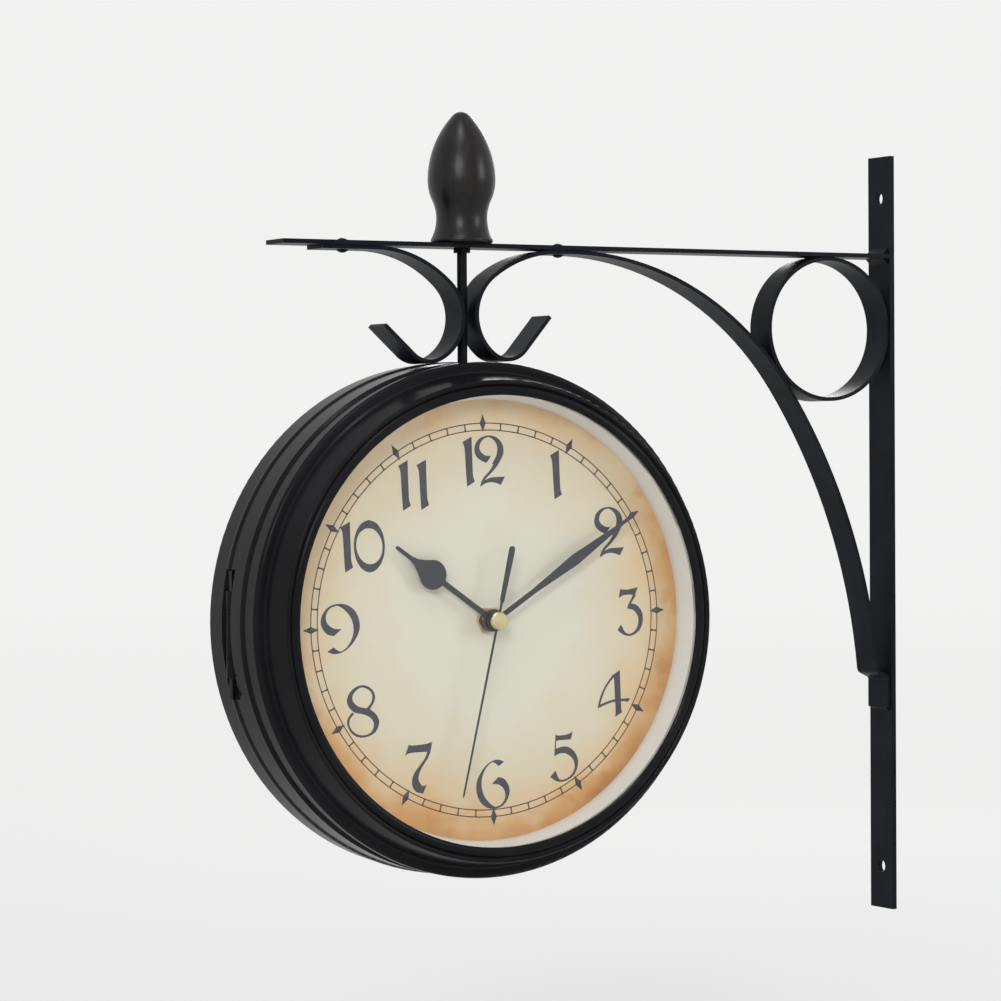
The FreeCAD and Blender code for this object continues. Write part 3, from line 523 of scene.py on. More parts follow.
def reveal_cream(finish):
    """Painted ring behind the glass, darker where it meets the dial: a little dust and painted shade."""
    material, sheet = new_material("reveal_cream")
    place = sheet.object_place()
    depth = sheet.split(place)[1]
    # Painted shade with a little dust: the ring darkens towards the corner where it meets the dial.
    dust_and_shade = (-abs(depth) - (face_depth("front") - DUST_SHADE_HEIGHT)).ramp(0.0, DUST_SHADE_FADE)
    cloud = sheet.noise(place, 30.0)
    colour = sheet.mixed(dust_and_shade * 0.45, sheet.varied(cloud, finish.reveal, 0.95, 1.03), finish.dust_and_shade)
    sheet.surface(Base_Color=colour, Roughness=0.45 + cloud * 0.1, IOR=1.45, Specular_IOR_Level=0.35)
    return material


def clear_glass(finish):
    """Thin flat glass: clear face on, with a reflection that grows at a slant."""
    material, sheet = new_material("clear_glass")
    film = sheet.noise(sheet.object_place(), 9.0)
    slant = Wire(sheet, sheet.add("ShaderNodeLayerWeight", None, {"Blend": 0.5}).outputs["Facing"])
    gloss = (0.03 + slant ** 5.0 * 0.9) * (0.42 + film * 0.16)
    clear = sheet.add("ShaderNodeBsdfTransparent", None, {"Color": finish.glass})
    shine = sheet.add("ShaderNodeBsdfGlossy", None, {"Color": finish.glass_shine, "Roughness": 0.03})
    sheet.finish(sheet.blend(gloss, clear, shine))
    return material


def hand_paint(finish):
    """Slate black paint on thin sheet."""
    material, sheet = new_material("hand_paint")
    place = sheet.object_place()
    cloud = sheet.noise(place, 75.0)
    sheet.surface(Base_Color=sheet.varied(cloud, finish.hands, 0.8, 1.25), Roughness=0.36 + cloud * 0.1,
                  Normal=sheet.bump(sheet.noise(place, 260.0), 0.01 * MM, 0.2), IOR=1.45)
    return material


def turned_metal(name, colour, roughness, axis_node=None):
    """Metal with faint stains and fine marks, upright or round a node's axis."""
    material, sheet = new_material(name)
    place = sheet.object_place()
    if axis_node is not None:
        middle = middle_of(axis_node)
        place = sheet.moved(place, (-middle.x, 0, -middle.z), (1, 0, 1))
        rings = sheet.add("ShaderNodeCombineXYZ", None, {"X": sheet.reach(place)})
        marks = sheet.noise(rings.outputs[0], 3600.0)
    else:
        marks = sheet.noise(sheet.moved(place, scale=(1, 1, 0.08)), 1800.0)
    stain = sheet.noise(place, 140.0, 3.0)
    sheet.surface(Base_Color=sheet.varied(stain.ramp(0.35, 0.8), colour, 1.0, 0.72), Metallic=1.0,
                  Roughness=roughness + stain * 0.12 + marks * 0.08,
                  Normal=sheet.bump(marks, 0.02 * MM, 0.5))
    return material


def moulded_plastic(name, colour, roughness, grain):
    """Spark-textured moulding."""
    material, sheet = new_material(name)
    place = sheet.object_place()
    spark = sheet.noise(place, grain, 2.0, 0.6)
    sheet.surface(Base_Color=sheet.varied(sheet.noise(place, 35.0), colour, 0.88, 1.14),
                  Roughness=roughness + spark * 0.1, Normal=sheet.bump(spark, 0.06 * MM, 0.5), IOR=1.46)
    return material


def wrapped_cell(finish, side):
    """Battery can: a dark wrap over most of its length and bare metal at the raised contact."""
    material, sheet = new_material("wrapped_cell_" + side)
    low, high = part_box(side + "_battery")
    facing = FACING[side]
    place = sheet.object_place()
    along = sheet.split(sheet.moved(place, scale=(facing, 1, 1)))[0] - min(low.x * facing, high.x * facing)
    bare = along.above((high.x - low.x) * 0.74)
    scuff = sheet.noise(sheet.moved(place, scale=(0.2, 1, 1)), 420.0, 3.0)
    colour = sheet.mixed(bare, shade(finish.cell, 0.16), finish.contact)
    colour = sheet.mixed(scuff.ramp(0.55, 0.8) * 0.3, colour, finish.cell)
    sheet.surface(Base_Color=colour, Metallic=bare * 0.9, Roughness=0.3 + scuff * 0.15, IOR=1.45)
    return material


# ---- where a dial is ----
def dial_place(side):
    """Matrix from a dial's own frame (right, up, out of the face) to the clock's."""
    middle, facing = middle_of(side + "_dial"), FACING[side]
    right, up, out = Vector((facing, 0, 0)), Vector((0, 0, 1)), Vector((0, -facing, 0))
    place = Matrix((right, up, out)).transposed().to_4x4()
    place.translation = Vector((middle.x, face_depth(side) * facing, middle.z))
    return place


def print_place(side, settings):
    """A dial's place with the small turn of its print."""
    angle = settings.front_turn if side == "front" else settings.rear_turn
    return dial_place(side) @ Matrix.Rotation(-angle, 4, "Z")


def keep_piece(name, mesh, side):
    """Link a finished mesh as a piece that rides on its side's body."""
    piece = bpy.data.objects.new(name, mesh)
    bpy.context.scene.collection.objects.link(piece)
    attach(piece, SIDE_BODY[side])
    return piece


def turned_mesh(name, profile, side):
    """Closed ring about a dial's axis from a profile of (radius, height above the dial's face)."""
    build = bmesh.new()
    rings = []
    for step in range(RING_STEPS):
        angle = 2 * math.pi * step / RING_STEPS
        rings.append([build.verts.new((radius * math.cos(angle), radius * math.sin(angle), height))
                      for radius, height in profile])
    for ring, following in zip(rings, rings[1:] + rings[:1]):
        for index in range(len(profile)):
            other = (index + 1) % len(profile)
            build.faces.new((ring[index], ring[other], following[other], following[index]))
    bmesh.ops.recalc_face_normals(build, faces=build.faces)
    mesh = bpy.data.meshes.new(name)
    build.to_mesh(mesh)
    build.free()
    mesh.polygons.foreach_set("use_smooth", [True] * len(mesh.polygons))
    mesh.set_sharp_from_angle(angle=SHARP_EDGE)
    mesh.transform(dial_place(side))
    return mesh


def lining_mesh(side, slope):
    """Reveal ring that closes in from the glass to the dial."""
    low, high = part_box(side + "_reveal_ring")
    outer, height = (high.x - low.x) / 2, high.y - low.y
    edge = outer - LINING_WALL
    profile = ((outer, 0.0), (outer, height), (edge, height),
               (edge - LINING_EASE, height - LINING_EASE_DEPTH),
               (edge - slope, LINING_FOOT_HEIGHT), (edge - slope - LINING_FOOT, 0.0))
    return turned_mesh(side + "_reveal_lining", profile, side)


# ---- geometry trees ----
class MarkTree(Sheet):
    """Geometry Nodes tree of number inputs, a thickness and a material; it ends in Set Material."""

    def __init__(self, name, inputs):
        super().__init__(bpy.data.node_groups.new(name, "GeometryNodeTree"))
        self.named = {}
        for way in ("INPUT", "OUTPUT"):
            self.tree.interface.new_socket("Geometry", in_out=way, socket_type="NodeSocketGeometry")
        for key, kind in {**inputs, "Thickness": "Float", "Material": "Material"}.items():
            item = self.tree.interface.new_socket(key, in_out="INPUT", socket_type="NodeSocket" + kind)
            self.named[key] = item.identifier
        self.start = self.add("NodeGroupInput")

    def value(self, name):
        return Wire(self, self.start.outputs[name])

    def end(self, geometry):
        real = self.add("GeometryNodeRealizeInstances", None, {"Geometry": geometry})
        painted = self.add("GeometryNodeSetMaterial", None,
                           {"Geometry": real.outputs[0], "Material": self.value("Material")})
        self.add("NodeGroupOutput", None, {"Geometry": painted.outputs[0]})


def flat_strip(tree, curve, width, scale=1.0):
    """Strip of ink along a flat curve."""
    level = tree.add("GeometryNodeSetCurveNormal", {"mode": "Z_UP"}, {"Curve": curve})
    profile = tree.add("GeometryNodeCurvePrimitiveQuadrilateral", {"mode": "RECTANGLE"},
                       {"Width": width, "Height": tree.value("Thickness")})
    strip = tree.add("GeometryNodeCurveToMesh", None,
                     {"Curve": level.outputs[0], "Profile Curve": profile.outputs[0], "Scale": scale,
                      "Fill Caps": True})
    return strip.outputs[0]


def track_line_tree():
    """Two fine circles, a band apart."""
    tree = MarkTree("track_lines", {"Outer Radius": "Float", "Band": "Float", "Line Width": "Float"})
    joined = tree.add("GeometryNodeJoinGeometry")
    outer = tree.value("Outer Radius")
    for radius in (outer, outer - tree.value("Band")):
        circle = tree.add("GeometryNodeCurvePrimitiveCircle", {"mode": "RADIUS"},
                          {"Resolution": LINE_POINTS, "Radius": radius})
        tree.feed(joined.inputs[0], flat_strip(tree, circle.outputs[0], tree.value("Line Width")))
    tree.end(joined.outputs[0])
    return tree


def mark_ring_tree():
    """Radial marks on a circle: their width goes from a middle scale to an end scale."""
    tree = MarkTree("mark_ring", {"Count": "Int", "Radius": "Float", "Length": "Float", "Width": "Float",
                                  "Middle Scale": "Float", "End Scale": "Float", "Sharpness": "Float"})
    half = tree.value("Length") * 0.5
    low = tree.add("ShaderNodeCombineXYZ", None, {"Y": -half})
    high = tree.add("ShaderNodeCombineXYZ", None, {"Y": half})
    line = tree.add("GeometryNodeCurvePrimitiveLine", {"mode": "POINTS"},
                    {"Start": low.outputs[0], "End": high.outputs[0]})
    fine = tree.add("GeometryNodeResampleCurve", None, {"Curve": line.outputs[0], "Count": MARK_POINTS})
    along = Wire(tree, tree.add("GeometryNodeSplineParameter").outputs["Factor"])
    middle, end = tree.value("Middle Scale"), tree.value("End Scale")
    scale = middle + abs(along * 2.0 - 1.0) ** tree.value("Sharpness") * (end - middle)
    mark = flat_strip(tree, fine.outputs[0], tree.value("Width"), scale)
    ring = tree.add("GeometryNodeMeshCircle", {"fill_type": "NONE"},
                    {"Vertices": tree.value("Count"), "Radius": tree.value("Radius")})
    place = tree.add("GeometryNodeInputPosition").outputs[0]
    aim = tree.add("FunctionNodeAlignRotationToVector", {"axis": "Y", "pivot_axis": "Z"}, {"Vector": place})
    marks = tree.add("GeometryNodeInstanceOnPoints", None,
                     {"Points": ring.outputs[0], "Instance": mark, "Rotation": aim.outputs[0]})
    tree.end(marks.outputs[0])
    return tree


def grown_mesh(name, tree, inputs):
    """Plain mesh of a tree's result."""
    seed = bpy.data.objects.new(name + "_seed", bpy.data.meshes.new(name + "_seed"))
    bpy.context.scene.collection.objects.link(seed)
    modifier = seed.modifiers.new("marks", "NODES")
    modifier.node_group = tree.tree
    for key, value in inputs.items():
        modifier[tree.named[key]] = value
    graph = bpy.context.evaluated_depsgraph_get()
    mesh = bpy.data.meshes.new_from_object(seed.evaluated_get(graph), preserve_all_data_layers=True,
                                           depsgraph=graph)
    seed.modifiers.remove(modifier)
    bpy.data.objects.remove(seed)
    if not mesh.vertices:
        raise RuntimeError("nothing grew for " + name)
    mesh.name = name
    return mesh


# ---- numerals ----
# Each stroke of a broad pen is a row of ribs: (x, y) of its one edge and (x, y) of its other, in
# millimetres about the middle of the figure. The nought has one half of its stroke here.
PEN_STROKES = {
    "1": (
        ((-2.9, 8.7, 1.9, 11.1), (-2, 6.9, 1.9, 8.5), (-1.7, 4.3, 1.9, 4.8), (-1.5, -1.4, 2, -1.4),
         (-1.3, -6.7, 2.1, -6.1), (-1, -11.1, 2.9, -9)),
    ),
    "2": (
        ((-1.7, -0.9, 0.8, 2.2), (-4.7, 0.5, -2, 2.5), (-6.9, 2.5, -4.1, 3.9), (-7.6, 5.1, -5, 5.7),
         (-6.8, 8.1, -4.6, 7.7), (-4.3, 10.4, -3, 9.6), (-0.2, 11.4, -0.2, 10.6), (3.7, 10.4, 2.3, 9.2),
         (6.3, 8, 3.7, 7.1), (7.2, 4.9, 4, 4.6), (6.6, 2, 3.1, 1.6), (4.6, -1.1, 1, -1.5)),
        ((5.8, 0.8, 2.4, 0.4), (4.1, -1.9, 1.6, -1.9), (1.2, -4.9, -0.4, -4.6), (-1.9, -7.6, -3.2, -7.2),
         (-3.6, -9.4, -4.7, -9.6), (-4.4, -10.6, -5.1, -11.2)),
        ((-5.1, -11.4, -4.5, -9.2), (-2.6, -10, -2.6, -8.4), (0.4, -9.5, 0.4, -7.4), (3.1, -10, 3.7, -7.3),
         (5.3, -10.9, 7.6, -7.2)),
    ),
    "3": (
        ((-5.7, 6.4, -4.8, 10.6), (-3.4, 7.6, -3, 10.2), (-0.2, 7.8, -0.2, 10.2), (2.9, 7.4, 4.6, 11)),
        ((1.9, 7.6, 3.5, 7.6), (0.2, 4.8, 1.5, 4.8), (-1.4, 2.2, -0.2, 2.2)),
        ((0.3, 3.8, -1.5, 1.5), (3.4, 3, 1.6, 0.8), (5.9, 0.5, 3.6, -1.2), (6.8, -2.5, 4.4, -3.4),
         (6.4, -5.7, 4, -6.2), (4.4, -9, 2.7, -8.5), (0.2, -11, 0, -10), (-3.6, -10.3, -2.7, -9.2),
         (-6.8, -8, -4.8, -5.6)),
    ),
    "4": (
        ((-0.1, 8.4, 3.7, 10.6), (0.5, 6.5, 3.7, 7.2), (0.7, -0.2, 3.8, -0.2), (0.9, -7.5, 3.9, -6.8),
         (0.6, -10.6, 4.3, -8.8)),
        ((-0.1, 8.6, 1, 8), (-4.4, 3.5, -3.5, 3.2), (-7.1, -1.5, -6.1, -1.8), (-8.5, -5.8, -7.3, -5.4)),
        ((-8.5, -6.3, -8, -4.8), (-3.3, -4.5, -3.3, -3.4), (0.9, -3.7, 0.9, -2.6), (4.7, -3.8, 4.7, -2.6),
         (7.7, -4.2, 8.5, -2.6)),
    ),
    "5": (
        ((-4.1, 6.5, -4, 10.5), (-3, 7.5, -2.9, 9.8), (0.9, 7.6, 1.1, 9.8), (3, 7.6, 3.4, 10.3),
         (4, 7.7, 5, 11.2)),
        ((-4.3, 7.2, -3.7, 7.2), (-4.6, 3.2, -4, 3.2)),
        ((-4.6, 3.7, -4.8, 0.3), (-1.7, 4.4, -2.9, 1.4), (1.1, 4.6, -0.5, 1.7), (3.9, 3.5, 1.6, 1.2),
         (6.2, 1.1, 4, -0.5), (7.3, -1.7, 5.3, -2.6), (7.1, -4.8, 5.5, -5.2), (5.5, -8, 4.4, -7.6),
         (2.8, -10.1, 2.2, -9.4), (-0.9, -11.2, -0.9, -10.3), (-4.1, -10.7, -2.9, -9.5),
         (-7.3, -8.7, -4.4, -5.9)),
    ),
    "6": (
        ((6, 9.8, 3.2, 7.9), (3.1, 10.9, 1.5, 9.4), (0, 10.5, -0.3, 9.8), (-3.1, 8.8, -2.7, 8.1),
         (-6, 5.6, -4.6, 5.2), (-7.8, 2.4, -5.6, 2), (-8.5, -1, -5.6, -1.2), (-7.8, -5, -4.6, -4.6),
         (-5.9, -8.2, -2.7, -7.3), (-2.9, -10.3, -0.5, -9.3), (0.8, -10.9, 1.4, -10), (4.6, -9.9, 4.3, -9),
         (7.3, -7.1, 6, -6.3), (8.5, -3.3, 6, -3.7), (7.6, -0.1, 5, -1.8), (5.7, 2.2, 2.7, -0.2),
         (2.9, 3.1, -0.5, 0.2)),
    ),
    "7": (
        ((-6.9, 5.8, -4.9, 10.7), (-5, 6.9, -3.5, 10.3), (-1, 7.1, -0.1, 10.3), (3.8, 7, 4.2, 10.6),
         (5.8, 6.8, 6.9, 11.3)),
        ((4.2, 7, 5.9, 7), (2.7, 3.9, 4.3, 4), (-0.3, 0.6, 1.8, 0.8), (-2.6, -2.2, 0, -2.2),
         (-3.7, -4.8, -0.5, -4.8), (-3.6, -7.7, 0.3, -6.7), (-1.8, -10.3, 1.5, -7.9),
         (1.6, -11.3, 3.5, -7.5)),
    ),
    "8": (
        ((2.7, 10.8, 2, 10), (0, 11.5, 0, 10.5), (-3.2, 10.8, -2.6, 9.6), (-6.3, 8.5, -4.5, 7.7),
         (-7.7, 5.3, -5, 5.5), (-7, 2.5, -3.9, 3.5), (-5, 0.3, -1.6, 2), (-3.2, -0.6, 1, 1.4),
         (-0.4, -1.2, 3.5, 0.6), (2.7, -2.4, 6, -1.3), (4.5, -4.1, 7.4, -3.4), (5.1, -5.8, 7.8, -5.3),
         (4.7, -7.9, 6.8, -8.2), (3.1, -9.7, 4.6, -10.3), (0, -10.5, 0, -11.5), (-3.2, -9.8, -3.7, -10.8),
         (-5.6, -7.9, -6.4, -8.6), (-6.8, -5.4, -7.8, -5.4), (-6.4, -3, -7.5, -2.7),
         (-4.4, -0.9, -5.2, -0.1)),
        ((3.1, 0.3, 1.9, 1.3), (5, 2.9, 3.9, 3.3), (6.1, 5.5, 4.7, 5.5), (5.5, 8.3, 4.3, 7.9),
         (3.1, 10.6, 2.3, 9.7), (0, 11.5, 0, 10.5)),
    ),
    "0": (
        ((0, 11.5, -1.6, 7.8), (-3.8, 9.9, -4.5, 6), (-6.6, 5.7, -6.2, 2.6), (-7.6, 0, -6.2, -1.5),
         (-6.6, -5.7, -4.5, -5.2), (-3.8, -9.9, -1.7, -7.5)),
    ),
}
NINE_WIDTH = 1.12
RIB_STEPS = 5
# Figures of each hour's numeral, with how far each stands right of the numeral's middle, in millimetres.
FIGURES = {hour: ((str(hour), 0.0),) for hour in range(1, 10)}
FIGURES.update({10: (("1", -7.9), ("0", 3.2)), 11: (("1", -4.6), ("1", 4.5)),
                12: (("1", -7.7), ("2", 3.0))})


def half_turned(stroke, width=1.0):
    """A stroke turned half round, and made wider."""
    return tuple((-a * width, -b, -c * width, -d) for a, b, c, d in stroke)


def figure_strokes(figure):
    """Strokes of a figure; the nine is the six turned half round and a little wider."""
    if figure == "9":
        return [half_turned(stroke, NINE_WIDTH) for stroke in PEN_STROKES["6"]]
    if figure == "0":
        half = PEN_STROKES["0"][0]
        return [half + half_turned(half) + half[:1]]
    return PEN_STROKES[figure]


def smooth_ribs(stroke):
    """Ribs along a smooth curve through the given ones."""
    ribs = []
    for index in range(len(stroke) - 1):
        before = stroke[max(index - 1, 0)]
        start, end = stroke[index], stroke[index + 1]
        after = stroke[min(index + 2, len(stroke) - 1)]
        for step in range(RIB_STEPS):
            t = step / RIB_STEPS
            ribs.append([0.5 * (2 * s + (e - b) * t + (2 * b - 5 * s + 4 * e - a) * t ** 2
                                + (3 * s - b - 3 * e + a) * t ** 3)
                         for b, s, e, a in zip(before, start, end, after)])
    return ribs + [list(stroke[-1])]


def pen_stroke(build, stroke, middle, low, high):
    """Thin closed strip of ink between two edges."""
    rows = []
    for ax, ay, bx, by in smooth_ribs(stroke):
        first = middle + Vector((ax, ay)) * MM
        second = middle + Vector((bx, by)) * MM
        rows.append([build.verts.new((*first, low)), build.verts.new((*second, low)),
                     build.verts.new((*second, high)), build.verts.new((*first, high))])
    faces = [build.faces.new(rows[0]), build.faces.new(rows[-1][::-1])]
    for row, following in zip(rows, rows[1:]):
        for index in range(4):
            other = (index + 1) % 4
            faces.append(build.faces.new((row[index], following[index], following[other], row[other])))
    bmesh.ops.recalc_face_normals(build, faces=faces)


def numeral_mesh(side, settings):
    """All twelve numerals of a dial in one mesh, upright on their circle."""
    build = bmesh.new()
    ink = settings.ink_thickness
    for hour, figures in FIGURES.items():
        radius = settings.pair_radius if hour >= 10 else settings.single_radius
        angle = math.radians(30 * hour)
        for figure, shift in figures:
            middle = Vector((radius * math.sin(angle) + shift * MM, radius * math.cos(angle)))
            for layer, stroke in enumerate(figure_strokes(figure)):
                pen_stroke(build, stroke, middle, ink * NUMERAL_BACK, ink * (1 + STROKE_STEP * layer))
    mesh = bpy.data.meshes.new(side + "_numerals")
    build.to_mesh(mesh)
    build.free()
    mesh.transform(print_place(side, settings))
    return mesh


# ---- operators ----
class CLOCK_OT_bracket(bpy.types.Operator):
    """Paint the wall bar, arm, scrolls, ring, welds, rivets, rod and nuts"""

    bl_idname = "clock.bracket"
    bl_label = "Paint the bracket"

    def execute(self, context):
        dress(BRACKET_NODES, iron_paint(context.scene.clock_finish))
        return {"FINISHED"}


class CLOCK_OT_drum(bpy.types.Operator):
    """Enamel both shells and the hinge leaves"""

    bl_idname = "clock.drum"
    bl_label = "Enamel the drum"

    def execute(self, context):
        dress(on_both("_shell", "_hinge_leaf"), drum_enamel(context.scene.clock_finish))
        return {"FINISHED"}


class CLOCK_OT_finial(bpy.types.Operator):
    """Stain and varnish the finial"""

    bl_idname = "clock.finial"
    bl_label = "Stain the finial"

    def execute(self, context):
        dress(["finial"], finial_wood(context.scene.clock_finish))
        return {"FINISHED"}


class CLOCK_OT_faces(bpy.types.Operator):
    """Age both dials, line the reveals and fit the glass"""

    bl_idname = "clock.faces"
    bl_label = "Finish the faces"

    def execute(self, context):
        finish = context.scene.clock_finish
        reveal = reveal_cream(finish)
        dress(on_both("_reveal_ring"), reveal)
        dress(on_both("_glass"), clear_glass(finish))
        for side in SIDES:
            dress([side + "_dial"], dial_paper(finish, side))
            mesh = lining_mesh(side, context.scene.clock_print.reveal_slope)
            mesh.materials.append(reveal)
            lining = keep_piece(side + "_reveal_lining", mesh, side)
            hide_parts(side + "_reveal_ring")
        return {"FINISHED"}


class CLOCK_OT_track(bpy.types.Operator):
    """Print the minute track and the hour markers on both dials"""

    bl_idname = "clock.track"
    bl_label = "Print the minute track"

    def execute(self, context):
        settings, finish = context.scene.clock_print, context.scene.clock_finish
        brown = printed_ink("line_ink", finish.line_ink)
        slate = printed_ink("marker_ink", finish.ink)
        lines, marks = track_line_tree(), mark_ring_tree()
        radius, band, ink = settings.track_radius, settings.track_band, settings.ink_thickness
        prints = {
            "_track_lines": (lines, {
                "Outer Radius": radius, "Band": band, "Line Width": settings.line_width,
                "Thickness": ink * LINE_INK, "Material": brown}),
            "_minute_bars": (marks, {
                "Count": settings.minutes, "Radius": radius - band / 2, "Length": band,
                "Width": settings.minute_width, **BAR_SHAPE, "Thickness": ink * BAR_INK,
                "Material": brown}),
            "_hour_markers": (marks, {
                "Count": MARKERS, "Radius": radius, "Length": settings.marker_length,
                "Width": settings.marker_width, **MARKER_SHAPE, "Thickness": ink * MARKER_INK,
                "Material": slate}),
        }
        for side in SIDES:
            for part, (tree, inputs) in prints.items():
                mesh = grown_mesh(side + part, tree, inputs)
                mesh.transform(print_place(side, settings) @ Matrix.Translation((0, 0, ink * PRINT_LIFT)))
                keep_piece(side + part, mesh, side)
        return {"FINISHED"}


class CLOCK_OT_numerals(bpy.types.Operator):
    """Print the broad-pen numerals on both dials"""

    bl_idname = "clock.numerals"
    bl_label = "Print the numerals"

    def execute(self, context):
        ink = printed_ink("numeral_ink", context.scene.clock_finish.ink)
        for side in SIDES:
            mesh = numeral_mesh(side, context.scene.clock_print)
            mesh.materials.append(ink)
            keep_piece(side + "_numerals", mesh, side)
        return {"FINISHED"}


class CLOCK_OT_hands(bpy.types.Operator):
    """Paint the hands and finish their brass caps, nuts and bushes"""

    bl_idname = "clock.hands"
    bl_label = "Finish the hands"

    def execute(self, context):
        finish = context.scene.clock_finish
        dress(on_both("_hour_hand", "_minute_hand", "_second_hand"), hand_paint(finish))
        dress(on_both("_hand_cap", "_shaft_nut", "_shaft_bush"),
              turned_metal("turned_brass", finish.brass, 0.26, "front_hand_cap"))
        return {"FINISHED"}


class CLOCK_OT_works(bpy.types.Operator):
    """Finish the movements, cells, washers, knobs, clips and steel fittings"""

    bl_idname = "clock.works"
    bl_label = "Finish the works"

    def execute(self, context):
        finish = context.scene.clock_finish
        dress(STEEL_NODES, turned_metal("zinc_steel", finish.steel, 0.34))
        dress(["hinge_pin"], turned_metal("dark_steel", finish.dark_steel, 0.4))
        dress(on_both("_movement"), moulded_plastic("case_plastic", finish.case, 0.5, 900.0))
        dress(on_both("_set_knob"), moulded_plastic("knob_plastic", finish.knob, 0.42, 1300.0))
        dress(on_both("_rubber_washer"), moulded_plastic("black_rubber", finish.rubber, 0.7, 700.0))
        for side in SIDES:
            dress([side + "_battery"], wrapped_cell(finish, side))
        return {"FINISHED"}


# ---- stage ----
def soft_lamp(scene, name, power, aim):
    """Square lamp that lights the clock and isn't seen itself."""
    size, place, colour = LAMPS[name]
    lamp = bpy.data.lights.new(name + "_lamp", "AREA")
    lamp.energy = power
    lamp.size = size
    lamp.color = colour
    holder = bpy.data.objects.new(name + "_lamp", lamp)
    holder.location = place
    holder.rotation_mode = "QUATERNION"
    holder.rotation_quaternion = (aim - Vector(place)).to_track_quat("-Z", "Y")
    holder.visible_camera = False
    scene.collection.objects.link(holder)


def seen_directly(sheet):
    """1 on rays from the camera and in mirrors and glass."""
    path = sheet.add("ShaderNodeLightPath")
    camera, glossy, through = (Wire(sheet, path.outputs[name])
                               for name in ("Is Camera Ray", "Is Glossy Ray", "Is Transmission Ray"))
    return camera.most(glossy).most(through)


def pale_floor(scene, stage, low):
    """Round floor that keeps the shadow near the clock and runs into the background with distance."""
    build = bmesh.new()
    bmesh.ops.create_circle(build, cap_ends=True, segments=FLOOR_STEPS, radius=FLOOR_RADIUS)
    bmesh.ops.translate(build, verts=build.verts, vec=(0, 0, low - stage.floor_drop))
    mesh = bpy.data.meshes.new("floor")
    build.to_mesh(mesh)
    build.free()
    material, sheet = new_material("pale_floor")
    place = sheet.object_place()
    away = sheet.reach(sheet.moved(place, (0.2, 0, 0), (1, 1, 0)))
    tint = sheet.varied(sheet.noise(place, 3.0), stage.floor, 0.99, 1.01)
    lit = sheet.add("ShaderNodeBsdfDiffuse", None, {"Color": tint})
    far = sheet.mixed(away.ramp(*FLOOR_TINT_FADE), stage.floor, stage.backdrop)
    pale = sheet.add("ShaderNodeEmission", None, {"Color": far})
    glow = seen_directly(sheet) * (FLOOR_GLOW + away.ramp(*FLOOR_FADE) * (1 - FLOOR_GLOW))
    sheet.finish(sheet.blend(glow, lit, pale))
    mesh.materials.append(material)
    floor = bpy.data.objects.new("floor", mesh)
    scene.collection.objects.link(floor)
    floor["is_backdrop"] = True


def pale_world(scene, stage):
    """Even light from all round, and a pale background where it is seen."""
    world = bpy.data.worlds.new("pale_room")
    world.use_nodes = True
    sheet = Sheet(world.node_tree)
    light = sheet.add("ShaderNodeBackground", None, {"Color": (1.0, 1.0, 1.0), "Strength": stage.ambient})
    seen = sheet.add("ShaderNodeBackground", None, {"Color": stage.backdrop})
    sheet.add("ShaderNodeOutputWorld", None, {"Surface": sheet.blend(seen_directly(sheet), light, seen)})
    scene.world = world


def set_camera(scene, stage):
    """Camera at the photograph's viewing angle."""
    yaw, pitch, roll = stage.yaw, stage.pitch, stage.roll
    ahead = Vector((math.sin(yaw) * math.cos(pitch), math.cos(yaw) * math.cos(pitch), math.sin(pitch)))
    side = Vector((math.cos(yaw), -math.sin(yaw), 0))
    above = side.cross(ahead)
    right = side * math.cos(roll) + above * math.sin(roll)
    up = above * math.cos(roll) - side * math.sin(roll)
    lens = bpy.data.cameras.new("camera")
    lens.lens = stage.lens
    lens.sensor_width = SENSOR_WIDTH
    lens.clip_start, lens.clip_end = CLIP_START, CLIP_END
    camera = bpy.data.objects.new("camera", lens)
    place = Matrix((right, up, -ahead)).transposed().to_4x4()
    place.translation = Vector(stage.eye)
    camera.matrix_world = place
    scene.collection.objects.link(camera)
    scene.camera = camera


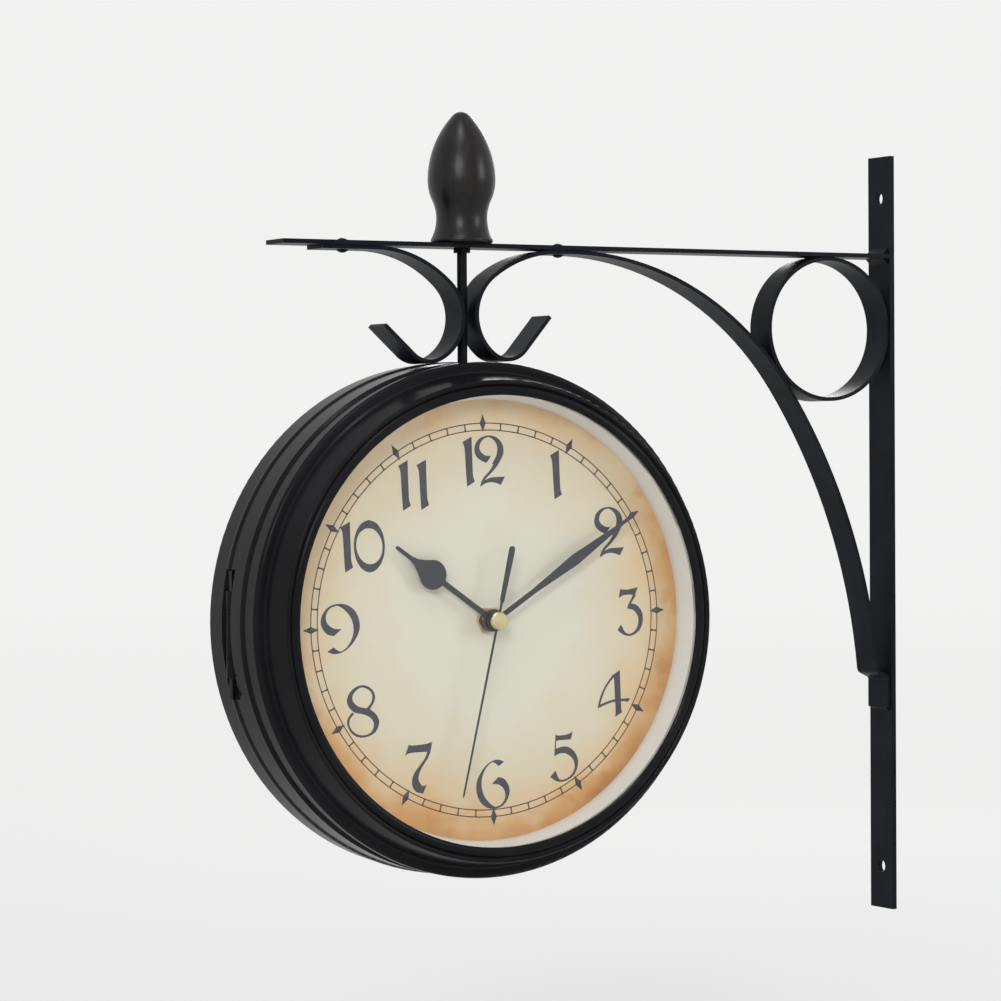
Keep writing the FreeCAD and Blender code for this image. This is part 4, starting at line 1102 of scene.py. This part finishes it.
class CLOCK_OT_stage(bpy.types.Operator):
    """Set the floor, lamps, background and camera"""

    bl_idname = "clock.stage"
    bl_label = "Set the stage"

    def execute(self, context):
        scene = context.scene
        stage = scene.clock_stage
        low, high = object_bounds()
        pale_floor(scene, stage, low.z)
        pale_world(scene, stage)
        for name in LAMPS:
            soft_lamp(scene, name, getattr(stage, name), (low + high) / 2)
        scene.view_settings.view_transform = "Standard"
        set_camera(scene, stage)
        return {"FINISHED"}


class CLOCK_PT_panel(bpy.types.Panel):
    """Buttons for every group of pieces, and the settings"""

    bl_idname = "CLOCK_PT_panel"
    bl_label = "Station clock"
    bl_space_type = "VIEW_3D"
    bl_region_type = "UI"
    bl_category = "Clock"

    def draw(self, context):
        column = self.layout.column()
        for operator in OPERATORS:
            column.operator(operator.bl_idname)
        for group in (context.scene.clock_print, context.scene.clock_finish, context.scene.clock_stage):
            box = self.layout.box()
            for name in group.bl_rna.properties.keys():
                if name not in ("rna_type", "name"):
                    box.prop(group, name)


OPERATORS = (CLOCK_OT_bracket, CLOCK_OT_drum, CLOCK_OT_finial, CLOCK_OT_faces, CLOCK_OT_track,
             CLOCK_OT_numerals, CLOCK_OT_hands, CLOCK_OT_works, CLOCK_OT_stage)
GROUPS = {"clock_print": ClockPrintSettings, "clock_finish": ClockFinishSettings,
          "clock_stage": ClockStageSettings}


def register():
    for group in GROUPS.values():
        bpy.utils.register_class(group)
    for name, group in GROUPS.items():
        setattr(bpy.types.Scene, name, PointerProperty(type=group))
    for operator in OPERATORS:
        bpy.utils.register_class(operator)
    bpy.utils.register_class(CLOCK_PT_panel)


def unregister():
    bpy.utils.unregister_class(CLOCK_PT_panel)
    for operator in reversed(OPERATORS):
        bpy.utils.unregister_class(operator)
    for name in GROUPS:
        delattr(bpy.types.Scene, name)
    for group in reversed(GROUPS.values()):
        bpy.utils.unregister_class(group)


def main():
    """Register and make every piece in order."""
    register()
    for operator in OPERATORS:
        namespace, name = operator.bl_idname.split(".")
        getattr(getattr(bpy.ops, namespace), name)()


if __name__ == "__main__":
    main()
